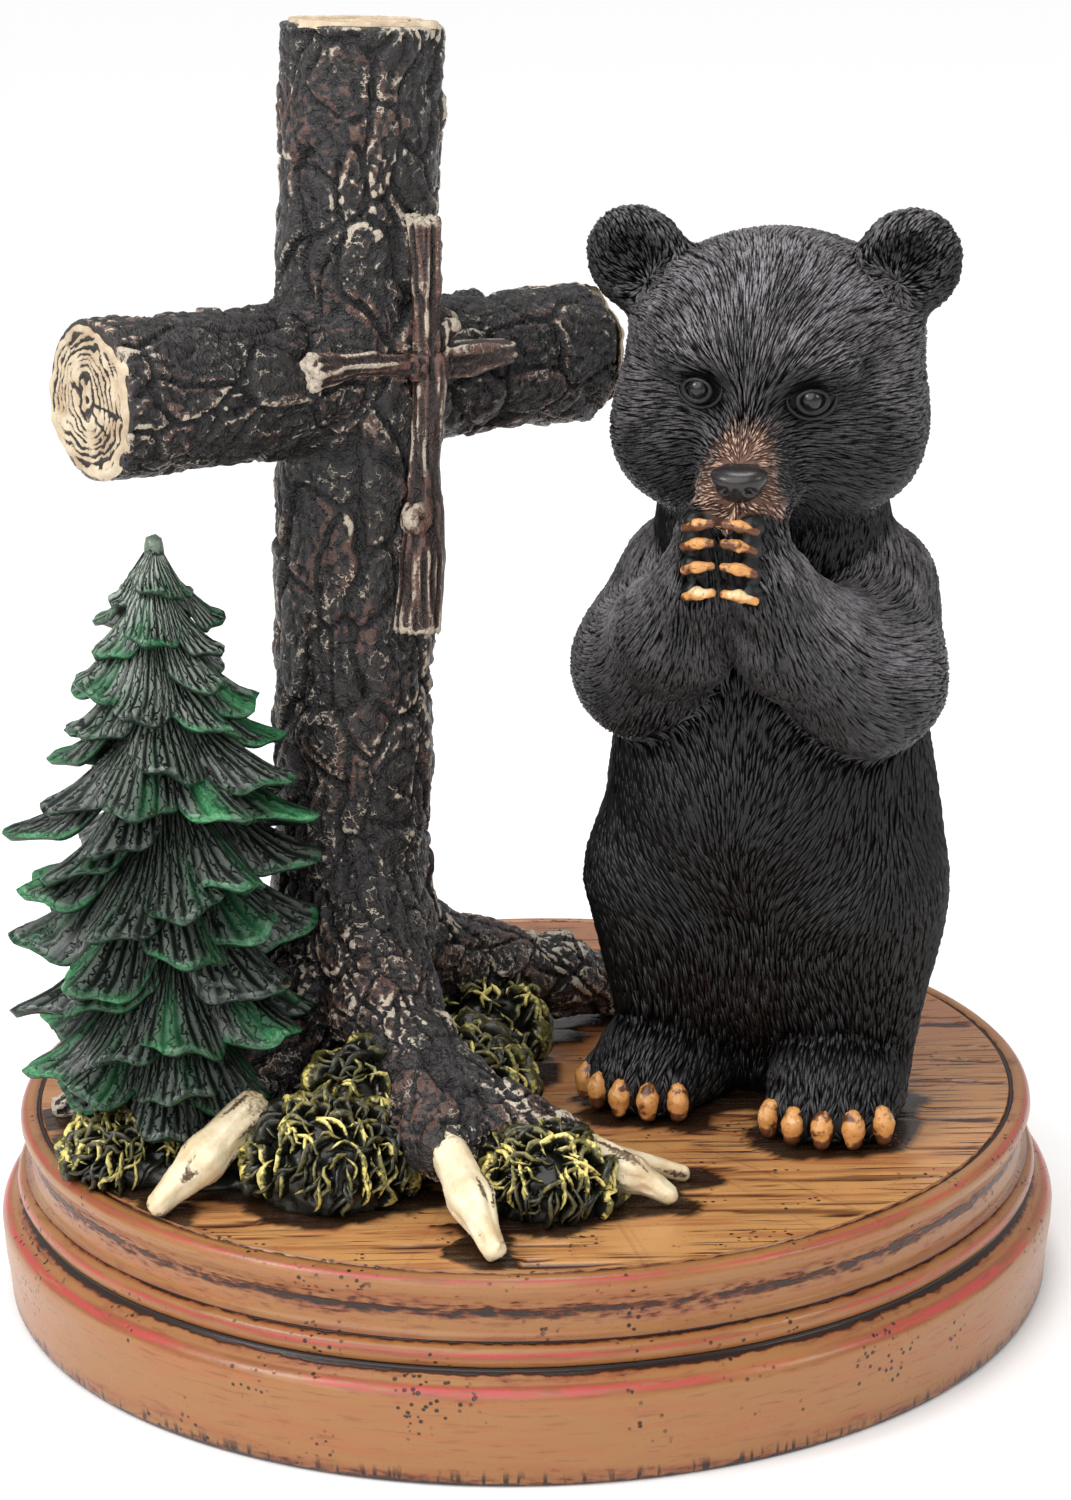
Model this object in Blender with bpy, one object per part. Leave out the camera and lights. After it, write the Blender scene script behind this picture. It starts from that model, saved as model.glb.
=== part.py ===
"""A praying bear figurine: a young bear, a log cross on a rooted stump and a pine on a round plinth.

Each of the four castings is one object. The sizes below are in millimetres, and Blender's own unit is
the metre, so a mesh is scaled by MM as it is made. X runs to the right, Y away from the front and Z up,
with the origin at the middle of the plinth's underside.
"""

import math

import bmesh
import bpy
import numpy as np
from mathutils import Vector, noise

MM = 0.001

# The turned plinth.
PLINTH_RADIUS = 76.0
PLINTH_HEIGHT = 27.4
BAND_HEIGHT = 13.6
BAND_DRAFT = 1.0
BAND_CHAMFER = 0.8
SHOULDER_DROP = 1.8
GROOVE_RADIUS = 72.4
BEAD_RADIUS = 73.4
BEAD_HEIGHT = 3.2
COVE_RADIUS = 71.3
RIM_RADIUS = 72.6
RIM_ROUND = 1.7
RING_RADIUS = 69.8
RING_WIDTH = 0.7
RING_DEPTH = 0.6
PLINTH_SIDES = 48

# What stands on the plinth keeps this much air below it, and the castings this much between them.
SEAT_GAP = 0.3
CASTING_GAP = 1.0

# The log cross: its foot, how it faces and leans, and its two logs.
CROSS_X = -0.329 * PLINTH_RADIUS
CROSS_Y = -0.105 * PLINTH_RADIUS
CROSS_TURN = math.radians(36.0)
CROSS_HEIGHT = 151.1
CROSS_LEAN = math.radians(2.8)
LOG_RADIUS = 11.0
BAR_LEFT_RADIUS = 10.7
BAR_RIGHT_RADIUS = 9.7
BAR_HEIGHT = 103.7
BAR_LEFT = 41.4
BAR_RIGHT = 38.6
BAR_DIP = math.radians(1.75)
FLARE_REACH = 4.0
FLARE_HEIGHT = 10.0
BARK_RELIEF = 0.75

# The twig cross fixed to the front of the logs.
TWIG_RADIUS = 2.3
TWIG_ABOVE = 19.7
TWIG_BELOW = 36.5
TWIG_LEFT = 18.4
TWIG_RIGHT = 14.4
TWIG_ASIDE = 3.3
TWIG_LIFT = 2.4
TWIG_STAND_OFF = 0.2
KNOT_BELOW = 20.0
KNOT_RADIUS = 1.5

# The pine.
PINE_X = -0.625 * PLINTH_RADIUS
PINE_Y = -0.329 * PLINTH_RADIUS
PINE_HEIGHT = 86.0
PINE_RADIUS = 20.6
PINE_STEM_RADIUS = 5.5
PINE_HEART_RADIUS = 7.6
PINE_SKIRT = 11.0
PINE_TIERS = 10
TIER_RISE = 8.9
TIER_CLOSING = 0.2
BOUGH_COUNT = 8
BOUGH_NOTCH = 0.24
BOUGH_LIFT = 3.4
BOUGH_LIP = 1.3
PINE_SIDES = 30

# The bear: its foot, how it and its head face, and its height to the ear tips.
BEAR_X = 0.455 * PLINTH_RADIUS
BEAR_Y = -0.138 * PLINTH_RADIUS
BEAR_TURN = math.radians(-19.0)
BEAR_HEIGHT = 126.0
HEAD_TURN = math.radians(6.0)
HEAD_NOD = math.radians(9.0)
HEAD_LIFT = 0.826
HEAD_SHIFT = 0.0115
PAW_SHIFT = 0.0205

# How finely the cast forms are skinned, and the triangles each keeps.
SKIN_STEP = 1.35
BEAR_TRIANGLES = 3450
CROSS_TRIANGLES = 2950


def clear_scene():
    """Remove every object of the scene."""
    for thing in list(bpy.data.objects):
        bpy.data.objects.remove(thing, do_unlink=True)


def paint(name, colour, roughness):
    """A painted resin finish."""
    material = bpy.data.materials.new(name)
    material.use_nodes = True
    shader = material.node_tree.nodes["Principled BSDF"]
    shader.inputs["Base Color"].default_value = (*colour, 1.0)
    shader.inputs["Roughness"].default_value = roughness
    shader.inputs["Metallic"].default_value = 0.0
    material.diffuse_color = (*colour, 1.0)
    return material


def add_object(name, mesh, material, angle=40.0):
    """Link a mesh as a named object, shaded smooth between its sharp edges."""
    mesh.materials.append(material)
    mesh.shade_smooth()
    mesh.set_sharp_from_angle(angle=math.radians(angle))
    thing = bpy.data.objects.new(name, mesh)
    bpy.context.scene.collection.objects.link(thing)
    return thing


# Distances to simple masses, negative inside, in millimetres.


def ball(points, centre, radii, turn=0.0, tip=0.0):
    """Distance to an ellipsoid, turned about Z and then tipped about its own Y, in radians."""
    local = points - np.asarray(centre, float)
    if turn:
        c, s = math.cos(turn), math.sin(turn)
        x, y, z = local.T
        local = np.stack([x * c + y * s, y * c - x * s, z], 1)
    if tip:
        c, s = math.cos(tip), math.sin(tip)
        x, y, z = local.T
        local = np.stack([x * c - z * s, y, z * c + x * s], 1)
    radii = np.asarray(radii, float)
    near = np.linalg.norm(local / radii, axis=1)
    slope = np.maximum(np.linalg.norm(local / radii**2, axis=1), 1e-6)
    return near * (near - 1.0) / slope


def limb(points, start, end, start_radius, end_radius):
    """Distance to a round limb that tapers from one ball to another."""
    start, end = np.asarray(start, float), np.asarray(end, float)
    run = end - start
    share = np.clip((points - start) @ run / (run @ run), 0.0, 1.0)
    radius = start_radius + (end_radius - start_radius) * share
    return np.linalg.norm(points - start - share[:, None] * run, axis=1) - radius


def log(points, start, end, start_radius, end_radius, soften=0.8):
    """Distance to a round tapering log sawn square at both ends."""
    start, end = np.asarray(start, float), np.asarray(end, float)
    run = end - start
    length = np.linalg.norm(run)
    along = (points - start) @ run / length
    radius = start_radius + (end_radius - start_radius) * np.clip(along / length, 0.0, 1.0)
    across = np.linalg.norm(points - start - along[:, None] * run / length, axis=1) - radius
    beyond = np.maximum(-along, along - length)
    return merge_out(across, beyond, soften)


def merge(first, second, width):
    """The union of two masses, blended over a width."""
    blend = np.maximum(width - np.abs(first - second), 0.0)
    return np.minimum(first, second) - blend * blend / (4.0 * width)


def merge_out(first, second, width):
    """The overlap of two masses, with its edge rounded over a width."""
    return -merge(-first, -second, width)


def carve(mass, tool, width):
    """A mass with a tool's shape carved out, its edge blended over a width."""
    return merge_out(mass, -tool, width)


def chain(points, knots, width):
    """Limbs that follow knots of (x, y, z, radius), blended over a width."""
    mass = None
    for first, second in zip(knots, knots[1:]):
        piece = limb(points, first[:3], second[:3], first[3], second[3])
        mass = piece if mass is None else merge(mass, piece, width)
    return mass


def well_joined(inside):
    """The grid with more cells filled until filled cells meet only across faces, so its skin never pinches."""
    inside = inside.copy()
    pairs = [(0, 1), (0, 2), (1, 2)]
    while True:
        before = inside.sum()
        for first, second in pairs:
            base = [slice(None)] * 3
            corners = []
            for i in (0, 1):
                for j in (0, 1):
                    index = list(base)
                    index[first] = slice(i, i - 1 or None)
                    index[second] = slice(j, j - 1 or None)
                    corners.append(tuple(index))
            a, b, c, d = (inside[corner] for corner in corners)
            crossed = (a & d & ~b & ~c) | (b & c & ~a & ~d)
            for corner in corners:
                inside[corner] |= crossed
        eight = [tuple(slice(n, n - 1 or None) for n in (i, j, k)) for i in (0, 1) for j in (0, 1) for k in (0, 1)]
        values = [inside[corner] for corner in eight]
        count = sum(v.astype(int) for v in values)
        for n in range(4):
            pair = values[n] & values[7 - n] & (count == 2)
            hollow = ~values[n] & ~values[7 - n] & (count == 6)
            for corner in eight:
                inside[corner] |= pair | hollow
        if inside.sum() == before:
            return inside


def skin(distance, low, high, step):
    """Points and quads of the zero surface of a distance, taken on a grid and drawn onto the surface."""
    sides = [np.arange(a, b + step, step) for a, b in zip(low, high)]
    grid = np.stack(np.meshgrid(*sides, indexing="ij"), -1)
    inside = well_joined((distance(grid.reshape(-1, 3)) < 0).reshape(grid.shape[:3]))
    corners = [inside[i : i - 1 or None, j : j - 1 or None, k : k - 1 or None]
               for i in (0, 1) for j in (0, 1) for k in (0, 1)]
    filled = sum(c.astype(int) for c in corners)
    crossed = (filled > 0) & (filled < 8)
    number = np.full(crossed.shape, -1)
    number[crossed] = np.arange(crossed.sum())
    points = grid[:-1, :-1, :-1][crossed] + step / 2
    quads = []
    for axis in range(3):
        ahead = np.roll(inside, -1, axis)
        change = inside != ahead
        others = [a for a in range(3) if a != axis]
        keep = np.ones_like(change)
        for a, size in enumerate(change.shape):
            index = [slice(None)] * 3
            index[a] = size - 1
            keep[tuple(index)] = False
            if a != axis:
                index[a] = 0
                keep[tuple(index)] = False
        at = np.argwhere(change & keep)
        ring = []
        for first, second in ((-1, -1), (0, -1), (0, 0), (-1, 0)):
            cell = at.copy()
            cell[:, others[0]] += first
            cell[:, others[1]] += second
            ring.append(number[tuple(cell.T)])
        ring = np.stack(ring, 1)
        outward = inside[tuple(at.T)] ^ (axis == 1)
        ring[~outward] = ring[~outward][:, ::-1]
        quads.append(ring)
    for _ in range(4):
        points = drawn_on(distance, points, step)
    return points, np.concatenate(quads)


def drawn_on(distance, points, most):
    """Points moved along the slope of a distance onto its zero surface."""
    reach = 0.05
    here = distance(points)
    slope = np.stack([(distance(points + reach * np.eye(3)[a]) - distance(points - reach * np.eye(3)[a]))
                      / (2 * reach) for a in range(3)], 1)
    size = np.maximum((slope * slope).sum(1), 0.05)
    move = -slope * (here / size)[:, None]
    far = np.maximum(np.linalg.norm(move, axis=1) / most, 1.0)
    return points + move / far[:, None]


def cast_mesh(name, points, quads, triangles):
    """A skinned form as a mesh, thinned to about so many triangles."""
    rough = bpy.data.meshes.new(name + "_rough")
    rough.from_pydata((points * MM).tolist(), [], quads.tolist())
    rough.update()
    helper = bpy.data.objects.new(name + "_rough", rough)
    bpy.context.scene.collection.objects.link(helper)
    thin = helper.modifiers.new("Thin", "DECIMATE")
    thin.ratio = triangles / (2.0 * len(quads))
    graph = bpy.context.evaluated_depsgraph_get()
    mesh = bpy.data.meshes.new_from_object(helper.evaluated_get(graph))
    mesh.name = name
    bpy.data.objects.remove(helper, do_unlink=True)
    bpy.data.meshes.remove(rough)
    return mesh


def plinth_profile():
    """The turned outline from the rim of the top down to the underside, as (radius, height)."""
    top = PLINTH_HEIGHT
    bead_foot = BAND_HEIGHT + SHOULDER_DROP
    bead_head = bead_foot + BEAD_HEIGHT
    outline = [
        (RING_RADIUS - RING_WIDTH / 2, top),
        (RING_RADIUS, top - RING_DEPTH),
        (RING_RADIUS + RING_WIDTH / 2, top),
    ]
    for step in range(3):
        angle = math.radians(90 - 45 * step)
        inward, down = RIM_ROUND * (1 - math.cos(angle)), RIM_ROUND * (1 - math.sin(angle))
        outline.append((RIM_RADIUS - inward, top - down))
    outline += [
        (COVE_RADIUS, (top - RIM_ROUND + bead_head) / 2),
        (COVE_RADIUS + 1.2, bead_head + 0.5),
        (GROOVE_RADIUS - 0.8, bead_head),
        (BEAD_RADIUS - 0.5, bead_head - 0.7),
        (BEAD_RADIUS, bead_foot + 1.2),
        (GROOVE_RADIUS, bead_foot - 0.1),
        (PLINTH_RADIUS - 1.2, BAND_HEIGHT + 0.7),
        (PLINTH_RADIUS, BAND_HEIGHT - 0.8),
        (PLINTH_RADIUS - BAND_DRAFT, BAND_CHAMFER),
        (PLINTH_RADIUS - BAND_DRAFT - BAND_CHAMFER, 0.0),
    ]
    return outline


def build_plinth(material):
    """The plinth, turned about Z and closed with a flat top and underside."""
    outline = plinth_profile()
    shape = bmesh.new()
    rings = []
    for radius, height in outline:
        ring = []
        for side in range(PLINTH_SIDES):
            angle = 2 * math.pi * side / PLINTH_SIDES
            x, y = radius * math.cos(angle), radius * math.sin(angle)
            ring.append(shape.verts.new((x * MM, y * MM, height * MM)))
        rings.append(ring)
    for upper, lower in zip(rings, rings[1:]):
        for side in range(PLINTH_SIDES):
            after = (side + 1) % PLINTH_SIDES
            shape.faces.new((upper[side], lower[side], lower[after], upper[after]))
    shape.faces.new(rings[0])
    shape.faces.new(list(reversed(rings[-1])))
    mesh = bpy.data.meshes.new("plinth")
    shape.to_mesh(mesh)
    shape.free()
    return add_object("plinth", mesh, material)


# The log cross.


def cross_axes():
    """The upright's foot and direction, the bar's middle and direction, and the way the cross faces."""
    foot = np.array([CROSS_X, CROSS_Y, PLINTH_HEIGHT])
    side = np.array([math.cos(CROSS_TURN), math.sin(CROSS_TURN), 0.0])
    front = np.array([math.sin(CROSS_TURN), -math.cos(CROSS_TURN), 0.0])
    up = side * math.sin(CROSS_LEAN) + np.array([0.0, 0.0, math.cos(CROSS_LEAN)])
    middle = foot + up * BAR_HEIGHT / math.cos(CROSS_LEAN)
    bar = side * math.cos(BAR_DIP) - np.array([0.0, 0.0, math.sin(BAR_DIP)])
    return foot, up, middle, bar, front


def root_chains():
    """The roots, as knots of (x, y, z, radius) from the upright's foot, for logs of 11 mm radius."""
    return [
        [(2, -5, 30, 8.5), (6, -16, 20.0, 7.2), (11.5, -30, 12.5, 6.0), (14.5, -39, 8.5, 5.0)],
        [(11, -26, 13, 6.5), (22, -33.5, 9, 5.0), (31.0, -37, 7.0, 3.6)],
        [(-4, -6, 22, 7.5), (-10, -15, 12.5, 6.0), (-13.0, -25, 8.0, 4.6)],
        [(7, 4, 22, 7.5), (19, 14.5, 14, 6.4), (29.5, 24.5, 9.6, 5.5), (37, 32, 5.2, 4.2), (40.3, 34.6, 3, 2.4)],
        [(-8, -2, 18, 6.5), (-21, -6, 7.5, 5.0), (-33, -6.5, 3.4, 3.2), (-40.5, -6, 1.6, 1.5)],
        [(-7, 6, 18, 6.0), (-21, 11, 9.0, 4.6), (-34.5, 12.5, 4.0, 2.6)],
        [(0, 8, 22, 7.0), (-1, 24, 10, 5.2), (2, 37, 4, 3.2)],
    ]


def peeled_tips():
    """The bare pointed root ends, as knots like the roots'."""
    return [
        [(14.9, -41.5, 9.0, 2.7), (17.9, -50.5, 5.6, 2.9), (20.9, -58.6, 1.9, 1.1)],
        [(32.5, -38, 7.0, 2.5), (38.5, -40.4, 4.6, 2.2), (43.6, -42.0, 1.9, 1.2)],
        [(34.5, -35, 5.4, 1.7), (46, -33.5, 1.4, 0.9)],
        [(-11.6, -31.5, 10.5, 2.8), (-17.5, -37.5, 6.2, 3.2), (-23.0, -42.2, 2.0, 1.3)],
    ]


def moss_lumps():
    """The mossy mounds, as (centre, radii) in the roots' measure."""
    return [
        ((-0.5, -35.0, 3.0), (10.5, 9.0, 9.5)),
        ((28.0, -40.5, 2.0), (8.6, 7.0, 8.0)),
        ((-28.0, -25.0, 1.5), (8.5, 8.0, 6.5)),
        ((19.5, 8.0, 4.0), (7.5, 8.0, 10.5)),
        ((3.0, -29.5, 11.0), (5.5, 5.5, 7.0)),
        ((17.5, -12.0, 4.0), (7.5, 12.0, 9.0)),
        ((-15.0, -19.0, -2.0), (23.0, 17.0, 8.5)),
    ]


def at_foot(spot):
    """A place in the roots' measure, moved to the upright's foot and sized to its log."""
    scale = LOG_RADIUS / 11.0
    return CROSS_X + scale * spot[0], CROSS_Y + scale * spot[1], PLINTH_HEIGHT + scale * spot[2]


def root_mass(points, knots, width):
    """Distance to one root, its knots in the roots' measure."""
    scale = LOG_RADIUS / 11.0
    return chain(points, [(*at_foot(knot[:3]), scale * knot[3]) for knot in knots], width)


def twig_cross(points):
    """The small cross of four split twigs on the front of the logs, and the knot on its lower arm."""
    foot, up, middle, bar, front = cross_axes()
    aside = bar * TWIG_ASIDE + np.array([0.0, 0.0, TWIG_LIFT])
    heart = middle + front * (LOG_RADIUS + TWIG_STAND_OFF) + aside
    arms = [
        (heart, heart + up * TWIG_ABOVE, TWIG_RADIUS, TWIG_RADIUS * 1.05),
        (heart, heart - up * TWIG_BELOW, TWIG_RADIUS, TWIG_RADIUS * 1.2),
        (heart, heart - bar * TWIG_LEFT, TWIG_RADIUS * 0.95, TWIG_RADIUS * 1.15),
        (heart, heart + bar * TWIG_RIGHT, TWIG_RADIUS * 0.95, TWIG_RADIUS * 0.95),
    ]
    mass = None
    for start, end, first, last in arms:
        piece = limb(points, start, end, first, last)
        mass = piece if mass is None else merge(mass, piece, 0.6)
    knot = heart - up * KNOT_BELOW + front * TWIG_RADIUS
    return merge(mass, ball(points, knot, (KNOT_RADIUS,) * 3), 0.5)


def cross_distance(points):
    """The whole casting of the cross: logs, flared foot, roots, bare root tips and moss."""
    foot, up, middle, bar, front = cross_axes()
    head = foot + up * CROSS_HEIGHT / math.cos(CROSS_LEAN)
    upright = log(points, foot - up * 10.0, head, LOG_RADIUS, LOG_RADIUS)
    height = points[:, 2] - PLINTH_HEIGHT
    upright = upright - FLARE_REACH * np.exp(-np.maximum(height, 0.0) / FLARE_HEIGHT)
    ends = middle - bar * BAR_LEFT, middle + bar * BAR_RIGHT
    crossbar = log(points, *ends, BAR_LEFT_RADIUS, BAR_RIGHT_RADIUS)
    mass = merge(upright, crossbar, 3.0)
    for knots in root_chains():
        mass = merge(mass, root_mass(points, knots, 3.0), 4.0)
    for centre, radii in moss_lumps():
        mass = merge(mass, ball(points, at_foot(centre), np.array(radii) * LOG_RADIUS / 11.0), 2.0)
    for knots in peeled_tips():
        mass = merge(mass, root_mass(points, knots, 1.5), 0.8)
    mass = merge(mass, twig_cross(points), 0.5)
    mass = carve(mass, pine_heart(points) - CASTING_GAP, 0.3)
    return np.maximum(mass, PLINTH_HEIGHT + SEAT_GAP - points[:, 2])


def roughen_bark(points):
    """Push the bark out into plates and in at the furrows, away from sawn ends and carved twigs."""
    foot, up, middle, bar, front = cross_axes()
    axis_up = (points - foot) @ up
    axis_bar = (points - middle) @ bar
    off_up = points - foot - axis_up[:, None] * up
    off_bar = points - middle - axis_bar[:, None] * bar
    on_bar = np.linalg.norm(off_bar, axis=1) < np.linalg.norm(off_up, axis=1)
    outward = np.where(on_bar[:, None], off_bar, off_up)
    outward = outward / np.maximum(np.linalg.norm(outward, axis=1), 1e-6)[:, None]
    clear = np.minimum(twig_cross(points) - 1.0, points[:, 2] - PLINTH_HEIGHT - 26.0)
    sawn = np.where(on_bar, np.minimum(axis_bar + BAR_LEFT, BAR_RIGHT - axis_bar), CROSS_HEIGHT - axis_up)
    share = np.clip(clear / 3.0, 0, 1) * np.clip((sawn - 1.0) / 2.0, 0, 1)
    relief = np.zeros(len(points))
    for row in np.nonzero(share > 0)[0]:
        x, y, z = points[row]
        stretched = Vector((x, y, z * 0.45))
        if on_bar[row]:
            stretched = Vector((axis_bar[row] * 0.45, off_bar[row] @ front, z))
        relief[row] = noise.noise(stretched * 0.42) + 0.6 * noise.noise(stretched * 0.95)
    return points + outward * (relief * share * BARK_RELIEF)[:, None]


def build_cross(material):
    """The log cross with its roots and moss, cast in one."""
    top = PLINTH_HEIGHT + CROSS_HEIGHT + 4
    low = (CROSS_X - 50, CROSS_Y - 66, PLINTH_HEIGHT - 2)
    high = (CROSS_X + 52, CROSS_Y + 46, top)
    points, quads = skin(cross_distance, low, high, SKIN_STEP)
    points = roughen_bark(points)
    points[:, 2] = np.maximum(points[:, 2], PLINTH_HEIGHT + SEAT_GAP)
    mesh = cast_mesh("log_cross", points, quads, CROSS_TRIANGLES)
    return add_object("log_cross", mesh, material, 55.0)


# The pine.


def pine_heart(points):
    """Distance to the stem and the slim core that the boughs stand on."""
    knots = [(0, 0, -3.0, PINE_STEM_RADIUS), (0, 0, PINE_SKIRT - 6.0, PINE_STEM_RADIUS),
             (0, 0, PINE_SKIRT - 2.0, PINE_HEART_RADIUS), (0, 0, PINE_HEIGHT, 0.8)]
    return chain(points - [PINE_X, PINE_Y, PLINTH_HEIGHT], knots, 1.0)


def tier_size(tier):
    """One tier's height over the plinth at its tips, its reach and its count of boughs."""
    height = PINE_SKIRT + TIER_RISE * tier - TIER_CLOSING * tier * tier
    reach = PINE_RADIUS * (min(1.0, 0.38 + 0.098 * (PINE_TIERS - 1 - tier)) - (0.15 if tier == 0 else 0.0))
    return height, reach, BOUGH_COUNT - tier // 3


def tier_edge(tier, angles):
    """The radius and height of a tier's scalloped lower edge at each angle."""
    height, reach, count = tier_size(tier)
    place = angles * count / (2 * math.pi) - 0.5 * (tier % 2) - 0.3 * tier
    bough = np.round(place)
    aside = 2.0 * np.abs(place - bough)
    size = reach / PINE_RADIUS
    reach = reach * (1.0 + 0.06 * np.sin(3.1 * bough + 1.7 * tier))
    level = height + 1.3 * size * size * np.sin(2.3 * bough + tier)
    return reach * (1.0 - BOUGH_NOTCH * aside**1.5), level + BOUGH_LIFT * size * aside**1.5


def pine_rings():
    """The pine's rings from its stem up: the radius and the height over the plinth at each angle."""
    angles = 2 * math.pi * np.arange(PINE_SIDES) / PINE_SIDES
    level = np.ones(PINE_SIDES)
    stem = PINE_STEM_RADIUS * level
    rings = [(stem, SEAT_GAP * level), (stem, (PINE_SKIRT + 1.0) * level)]
    for tier in range(PINE_TIERS):
        radius, foot = tier_edge(tier, angles)
        if tier + 1 < PINE_TIERS:
            above = tier_edge(tier + 1, angles)[1] + BOUGH_LIP * tier_size(tier)[1] / PINE_RADIUS
        else:
            above = np.full(PINE_SIDES, (foot.mean() + PINE_HEIGHT) / 2)
        rise = np.maximum(above - foot, 1.5)
        rings.append((radius, foot))
        rings.append((radius - 0.25 * rise, foot + 0.42 * rise))
        rings.append((np.maximum(radius - 0.82 * rise, 1.8), foot + rise))
    radius, height = (np.stack(column) for column in zip(*rings))
    return angles, clear_of_cross(angles, radius, height), height


def ring_points(angles, radius, height):
    """The points of rings around the pine's axis."""
    around = np.stack([np.cos(angles) * radius, np.sin(angles) * radius, height], -1)
    return around + [PINE_X, PINE_Y, PLINTH_HEIGHT]


def shortfall(points):
    """How far each point of a grid is from clearing the casting of the cross."""
    return np.maximum(CASTING_GAP - cross_distance(points.reshape(-1, 3)), 0.0).reshape(points.shape[:-1])


def clear_of_cross(angles, radius, height):
    """Ring radii drawn in until the rings clear the casting of the cross, each tier still stepping out."""
    least = np.minimum(radius, PINE_HEART_RADIUS * (1.0 - height / PINE_HEIGHT) + 0.6)
    for _ in range(14):
        points = ring_points(angles, radius, height)
        short = shortfall(points)
        above = shortfall((points[1:] + points[:-1]) / 2)
        beside = shortfall((points + np.roll(points, -1, 1)) / 2)
        short[1:] = np.maximum(short[1:], above)
        short[:-1] = np.maximum(short[:-1], above)
        short = np.maximum(short, np.maximum(beside, np.roll(beside, 1, 1)))
        radius = np.maximum(radius - 0.7 * short, least)
    inner, tips = radius[4:-1:3], radius[5::3]
    radius[4:-1:3] = np.minimum(inner, tips - 0.7)
    radius[1] = np.minimum(radius[1], radius[2] - 0.7)
    return radius


def build_pine(material):
    """The pine, cast in one: rings that step out at each tier's scalloped edge and in beneath the next."""
    angles, radius, height = pine_rings()
    points = ring_points(angles, radius, height).reshape(-1, 3) * MM
    shape = bmesh.new()
    corners = [shape.verts.new(tuple(point)) for point in points]
    for row in range(len(radius) - 1):
        for side in range(PINE_SIDES):
            after = (side + 1) % PINE_SIDES
            low, high = row * PINE_SIDES, (row + 1) * PINE_SIDES
            around = (low + side, low + after, high + after, high + side)
            shape.faces.new([corners[n] for n in around])
    shape.faces.new(list(reversed(corners[:PINE_SIDES])))
    peak = shape.verts.new((PINE_X * MM, PINE_Y * MM, (PLINTH_HEIGHT + PINE_HEIGHT) * MM))
    last = corners[-PINE_SIDES:]
    for side in range(PINE_SIDES):
        shape.faces.new((last[side], last[(side + 1) % PINE_SIDES], peak))
    mesh = bpy.data.meshes.new("pine_tree")
    shape.to_mesh(mesh)
    shape.free()
    return add_object("pine_tree", mesh, material, 35.0)


# The bear. Its masses are given for a bear 126 mm tall that faces -Y with its feet at the origin.


def bear_scale():
    """How much larger the bear is than its masses are given."""
    return BEAR_HEIGHT / 126.0


def turned(points, centre, turn, nod):
    """Points in the frame of a piece that is turned about Z and nods forward about X at a centre."""
    local = points - np.asarray(centre, float)
    c, s = math.cos(turn), math.sin(turn)
    local = np.stack([local[:, 0] * c + local[:, 1] * s, local[:, 1] * c - local[:, 0] * s, local[:, 2]], 1)
    c, s = math.cos(nod), math.sin(nod)
    return np.stack([local[:, 0], local[:, 1] * c + local[:, 2] * s, local[:, 2] * c - local[:, 1] * s], 1)


def head_distance(p):
    """The head about its own middle: skull, cheeks, muzzle, nose, brows, eyes and cupped ears."""
    mass = ball(p, (0.5, 1.0, 1.6), (19.5, 18.0, 17.0))
    mass = merge(mass, ball(p, (0.8, 2.0, 6.4), (18.8, 14.0, 11.3)), 3.0)
    for side in (-1, 1):
        mass = merge(mass, ball(p, (side * 10.2, -3.5, -6.5), (10.8, 11.5, 10.5)), 5.0)
    mass = merge(mass, ball(p, (0, -5.0, 7.5), (12.5, 12.5, 10.5)), 5.0)
    mass = merge(mass, ball(p, (0, -3.0, -11.5), (12.0, 12.0, 8.0)), 5.0)
    mass = merge(mass, limb(p, (0, -10.0, -3.5), (0, -21.8, -8.3), 8.0, 6.4), 4.5)
    for side in (-1, 1):
        across, level = side * 7.3 + 0.6, 2.8 - side * 0.6
        brow = ball(p, (across + side, -14.0, level + 5.0), (5.0, 2.5, 2.3), 0.0, side * 0.4)
        mass = merge(mass, brow, 3.0)
        mass = carve(mass, ball(p, (across - side * 0.3, -18.4, level - 0.1), (3.8, 2.5, 2.8)), 2.0)
        mass = merge(mass, ball(p, (across, -15.9, level), (2.3, 2.3, 2.1)), 0.3)
        ear = ball(p, (side * 17.9 + 0.3, 2.0, 14.9), (6.7, 3.6, 7.5), 0.0, side * 0.55)
        ear = carve(ear, ball(p, (side * 17.6 + 0.3, -1.9, 14.6), (4.5, 3.2, 5.2), 0.0, side * 0.55), 1.0)
        mass = merge(mass, ear, 2.2)
    nose = ball(p, (0, -26.9, -4.9), (3.4, 2.4, 2.5))
    mass = merge(mass, nose, 0.8)
    mass = carve(mass, limb(p, (0, -29.8, -7.2), (0, -27.5, -12.5), 0.7, 0.7), 0.5)
    return mass


def arm_distance(p, side):
    """One arm, folded up from the shoulder to the paw under the nose."""
    aside = PAW_SHIFT * 126.0
    shoulder = (side * 12.2 + 0.5, 2.5, 73.5)
    elbow = (side * 15.0 + 0.8, -8.8, 64.6)
    middle = (aside / 2 + side * 8.0, -21.0, 72.5)
    wrist = (aside + side * 5.0, -26.4, 80.0)
    mass = limb(p, shoulder, elbow, 10.0, 10.1)
    mass = merge(mass, limb(p, elbow, middle, 9.6, 7.8), 4.0)
    mass = merge(mass, limb(p, middle, wrist, 7.6, 5.0), 3.0)
    return merge(mass, limb(p, wrist, (aside + side * 3.8, -28.2, 86.0), 4.8, 3.5), 3.0)


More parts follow.
